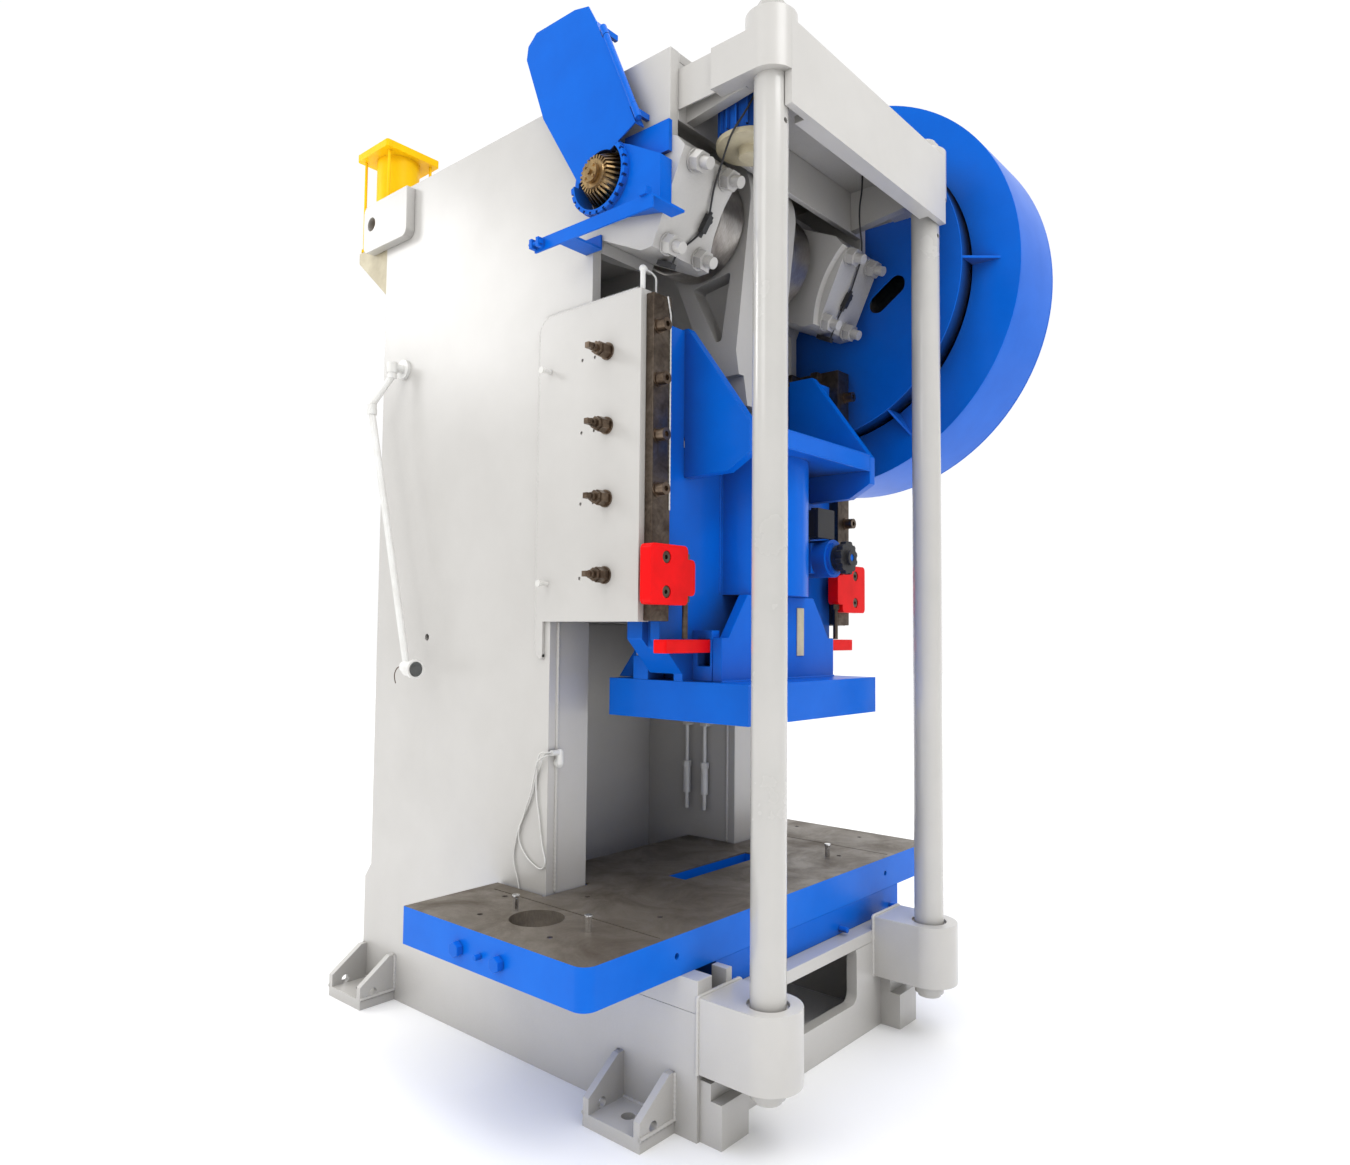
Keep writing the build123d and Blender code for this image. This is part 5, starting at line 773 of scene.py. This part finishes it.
def plate(name, body, low, high, finish):
    """Flat box between two corners, with its faces outward."""
    (x0, y0, z0), (x1, y1, z1) = low, high
    corners = [(x, y, z) for x in (x0, x1) for y in (y0, y1) for z in (z0, z1)]
    faces = [(0, 1, 3, 2), (4, 6, 7, 5), (0, 4, 5, 1), (2, 3, 7, 6), (0, 2, 6, 4), (1, 5, 7, 3)]
    mesh = bpy.data.meshes.new(name)
    mesh.from_pydata(corners, [], faces)
    mesh.materials.append(finish)
    piece = bpy.data.objects.new(name, mesh)
    bpy.context.scene.collection.objects.link(piece)
    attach(piece, body)
    print(name, "faces", len(faces))


FRONT, BACK, LOW, HIGH = -0.982, -0.829, 3.252, 3.390
for name, near, far in (("cheek_cover_left", -0.604, -0.598), ("cheek_cover_right", 0.598, 0.604)):
    plate(name, "frame", (near, FRONT, LOW), (far, BACK, HIGH), GREY)

# %% [markdown]
# ## Leads, hoses and the loose cable
# Thin cables hang on a press wherever a switch or a grease point sits. Each is one smooth curve
# with a round section, and its points are those of the solid route, so it leaves its gland and
# enters its clip where the solid one does. A poly line would show its corners, while a NURBS curve
# of low order rounds them itself.

# %% Routes of the cables
ROUTES = {
    "cable_loop": [
        (-0.642, -0.3005, 1.0985), (-0.66, -0.3005, 1.0985), (-0.676, -0.281, 1.1),
        (-0.668, -0.258, 1.08), (-0.656, -0.24, 1.038), (-0.653, -0.23, 0.985),
        (-0.651, -0.233, 0.925), (-0.65, -0.247, 0.868), (-0.65, -0.256, 0.81),
        (-0.65, -0.267, 0.758), (-0.65, -0.284, 0.722), (-0.65, -0.279, 0.694),
        (-0.65, -0.254, 0.684), (-0.65, -0.222, 0.694), (-0.65, -0.187, 0.712),
        (-0.65, -0.156, 0.739), (-0.651, -0.136, 0.776), (-0.654, -0.144, 0.815),
        (-0.657, -0.168, 0.851), (-0.658, -0.184, 0.896), (-0.658, -0.208, 0.944),
        (-0.659, -0.222, 0.996), (-0.664, -0.24, 1.037), (-0.679, -0.262, 1.064),
        (-0.68, -0.286, 1.08), (-0.662, -0.3005, 1.0895), (-0.642, -0.3005, 1.0895),
    ],
    "cable_drop": [
        (-0.642, -0.2915, 1.094), (-0.662, -0.2915, 1.094), (-0.672, -0.28, 1.08),
        (-0.652, -0.256, 1.05), (-0.649, -0.228, 1.015), (-0.649, -0.215, 0.962),
        (-0.649, -0.196, 0.914), (-0.649, -0.172, 0.872), (-0.649, -0.145, 0.833),
        (-0.649, -0.128, 0.791), (-0.649, -0.117, 0.75), (-0.649, -0.108, 0.71),
        (-0.65, -0.116, 0.67), (-0.65, -0.134, 0.634), (-0.65, -0.146, 0.594),
        (-0.65, -0.149, 0.545), (-0.65, -0.152, 0.476), (-0.66, -0.157, 0.44),
        (-0.69, -0.161, 0.404), (-0.684, -0.166, 0.366), (-0.644, -0.166, 0.366),
    ],
    "lead_left": [
        (-0.482, -1.085, 3.39), (-0.482, -1.085, 3.335), (-0.496, -1.066, 3.268),
        (-0.514, -1.036, 3.205), (-0.526, -0.992, 3.15), (-0.5, -0.946, 3.112),
        (-0.467, -0.892, 3.0693), (-0.461, -0.8672, 3.0257), (-0.45, -0.8463, 2.9737),
        (-0.444, -0.8354, 2.9456), (-0.454, -0.8118, 2.8949), (-0.49, -0.7862, 2.8495),
        (-0.532, -0.7657, 2.8127), (-0.532, -0.7484, 2.7755),
    ],
    "lead_right": [
        (0.42, -0.94, 3.39), (0.42, -0.94, 3.335), (0.41, -0.932, 3.265), (0.422, -0.925, 3.195),
        (0.452, -0.92, 3.13), (0.486, -0.898, 3.0775), (0.497, -0.8691, 3.0249),
        (0.5, -0.8354, 2.9456), (0.49, -0.8118, 2.8949), (0.484, -0.7862, 2.8495),
        (0.49, -0.7657, 2.8127), (0.49, -0.7484, 2.7755),
    ],
    "grease_hose": [
        (-0.615, -0.7, 2.741), (-0.562, -0.7, 2.741), (-0.564, -0.702, 2.694),
        (-0.564, -0.702, 2.65),
    ],
    "lamp_tail": [
        (-0.76, 0.469, 1.378), (-0.76, 0.491, 1.378), (-0.761, 0.512, 1.36),
        (-0.762, 0.519, 1.334), (-0.76, 0.509, 1.31),
    ],
}
print("routes:", {name: len(route) for name, route in ROUTES.items()})

# %% [markdown]
# ## Hanging the cables
# Each cable stands for the solid one of the same route, which is hidden. It is given its route from
# where it leaves to where its far end goes, its length, its thickness and the body that carries it.
# A round curve with filled ends is light and stays smooth, where a swept mesh would need many rings.

# %% Cables


def cable(node, body, length, diameter, finish):
    """Smooth cable along a route, standing for the solid one."""
    curve = bpy.data.curves.new(node + "_line", "CURVE")
    curve.dimensions = "3D"
    curve.bevel_depth = diameter / 2
    curve.bevel_resolution = 4
    curve.use_fill_caps = True
    spline = curve.splines.new("NURBS")
    route = ROUTES[node]
    spline.points.add(len(route) - 1)
    for point, place in zip(spline.points, route):
        point.co = (*place, 1.0)
    spline.order_u = 3
    spline.use_endpoint_u = True
    spline.resolution_u = 10
    curve.materials.append(finish)
    piece = bpy.data.objects.new(node + "_cord", curve)
    bpy.context.scene.collection.objects.link(piece)
    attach(piece, body)
    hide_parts(node)
    print(node, "length", length)


cable("cable_loop", "frame", 1.038, 0.005, WHITE_SHEATH)
cable("cable_drop", "frame", 0.849, 0.005, WHITE_SHEATH)
cable("lead_left", "frame", 0.763, 0.007, BLACK)
cable("lead_right", "frame", 0.673, 0.007, BLACK)
cable("grease_hose", "frame", 0.134, 0.007, WHITE_SHEATH)
cable("lamp_tail", "lamp_head", 0.100, 0.004, BROWN_SHEATH)

# %% [markdown]
# ## The floor
# The picture is a bright cut-out on white. A plain pale floor that reaches past the view keeps the
# faint shadow under the press. It is stage, not a part of the press.

# %% Floor
FLOOR_REACH = 30.0
FLOOR_CORNERS = [(-FLOOR_REACH, -FLOOR_REACH, 0), (FLOOR_REACH, -FLOOR_REACH, 0),
                 (FLOOR_REACH, FLOOR_REACH, 0), (-FLOOR_REACH, FLOOR_REACH, 0)]
FLOOR = new_material("studio_floor")[0]
fill(FLOOR.node_tree.nodes["Principled BSDF"], {"Base Color": rgba((0.93, 0.93, 0.93)), "Roughness": 0.7})
floor_mesh = bpy.data.meshes.new("floor")
floor_mesh.from_pydata(FLOOR_CORNERS, [], [(0, 1, 2, 3)])
floor_mesh.materials.append(FLOOR)
floor = bpy.data.objects.new("floor", floor_mesh)
bpy.context.scene.collection.objects.link(floor)
print("floor reaches", FLOOR_REACH, "m each way")

# %% [markdown]
# ## The room
# Glossy paint shows whatever stands round it. An even white room would wash the colours out, so
# the wall behind the press is white and the room behind the camera is dimmer. Each is a ramp along
# one direction, made with a dot product, and the brighter of the two wins.

# %% Room
world = bpy.data.worlds.new("studio")
bpy.context.scene.world = world
world.use_nodes = True
sky_tree = world.node_tree
backdrop = sky_tree.nodes["Background"]
backdrop.inputs["Color"].default_value = rgba((1.0, 1.0, 1.0))
way_in = add(sky_tree, "ShaderNodeTexCoord")
WALL = (-0.5, 0.62, 0.45, 1.02)
LEFT = (-0.8, 0.9, 0.36, 0.76)
glows = []
for way, limits in (((forward.x, forward.y, 0), WALL), ((-0.75, -0.25, 0.61), LEFT)):
    along = add(sky_tree, "ShaderNodeVectorMath", operation="DOT_PRODUCT")
    along.inputs[1].default_value = way
    join(sky_tree, way_in.outputs["Generated"], along.inputs[0])
    glows.append(ramp(sky_tree, along.outputs["Value"], *limits))
join(sky_tree, maths(sky_tree, "MAXIMUM", *glows), backdrop.inputs["Strength"])
print("room nodes:", len(sky_tree.nodes))

# %% [markdown]
# ## The lamps
# Three broad panels give the faces their turns of tone. One of them stands far behind on the left,
# where the side plate mirrors it as a soft glow. A wide soft sun straight above whitens the whole
# floor and fills the shadows; small hard lamps would draw edges that the picture doesn't have.

# %% Lights


def soft_light(name, place, target, size, power):
    """Large square light aimed at a point."""
    data = bpy.data.lights.new(name, "AREA")
    data.shape = "RECTANGLE"
    data.size = data.size_y = size
    data.energy = power
    light = bpy.data.objects.new(name, data)
    bpy.context.scene.collection.objects.link(light)
    way = Vector(target) - Vector(place)
    light.matrix_world = Matrix.Translation(place) @ way.to_track_quat("-Z", "Y").to_matrix().to_4x4()
    print(name, "light:", power, "W")


soft_light("key", (-5.5, 0.0, 4.6), (-0.6, 0.2, 2.4), 2.4, 35)
soft_light("glow", (-3.4, 4.4, 4.7), (-0.65, 0.35, 2.9), 1.5, 42)
soft_light("front", (-1.0, -4.5, 6.5), (0, -0.8, 3.2), 2.5, 90)

SKY_STRENGTH, SKY_WIDTH = 1.75, math.radians(75)
sky = bpy.data.lights.new("sky", "SUN")
sky.energy = SKY_STRENGTH
sky.angle = SKY_WIDTH
bpy.context.scene.collection.objects.link(bpy.data.objects.new("sky", sky))
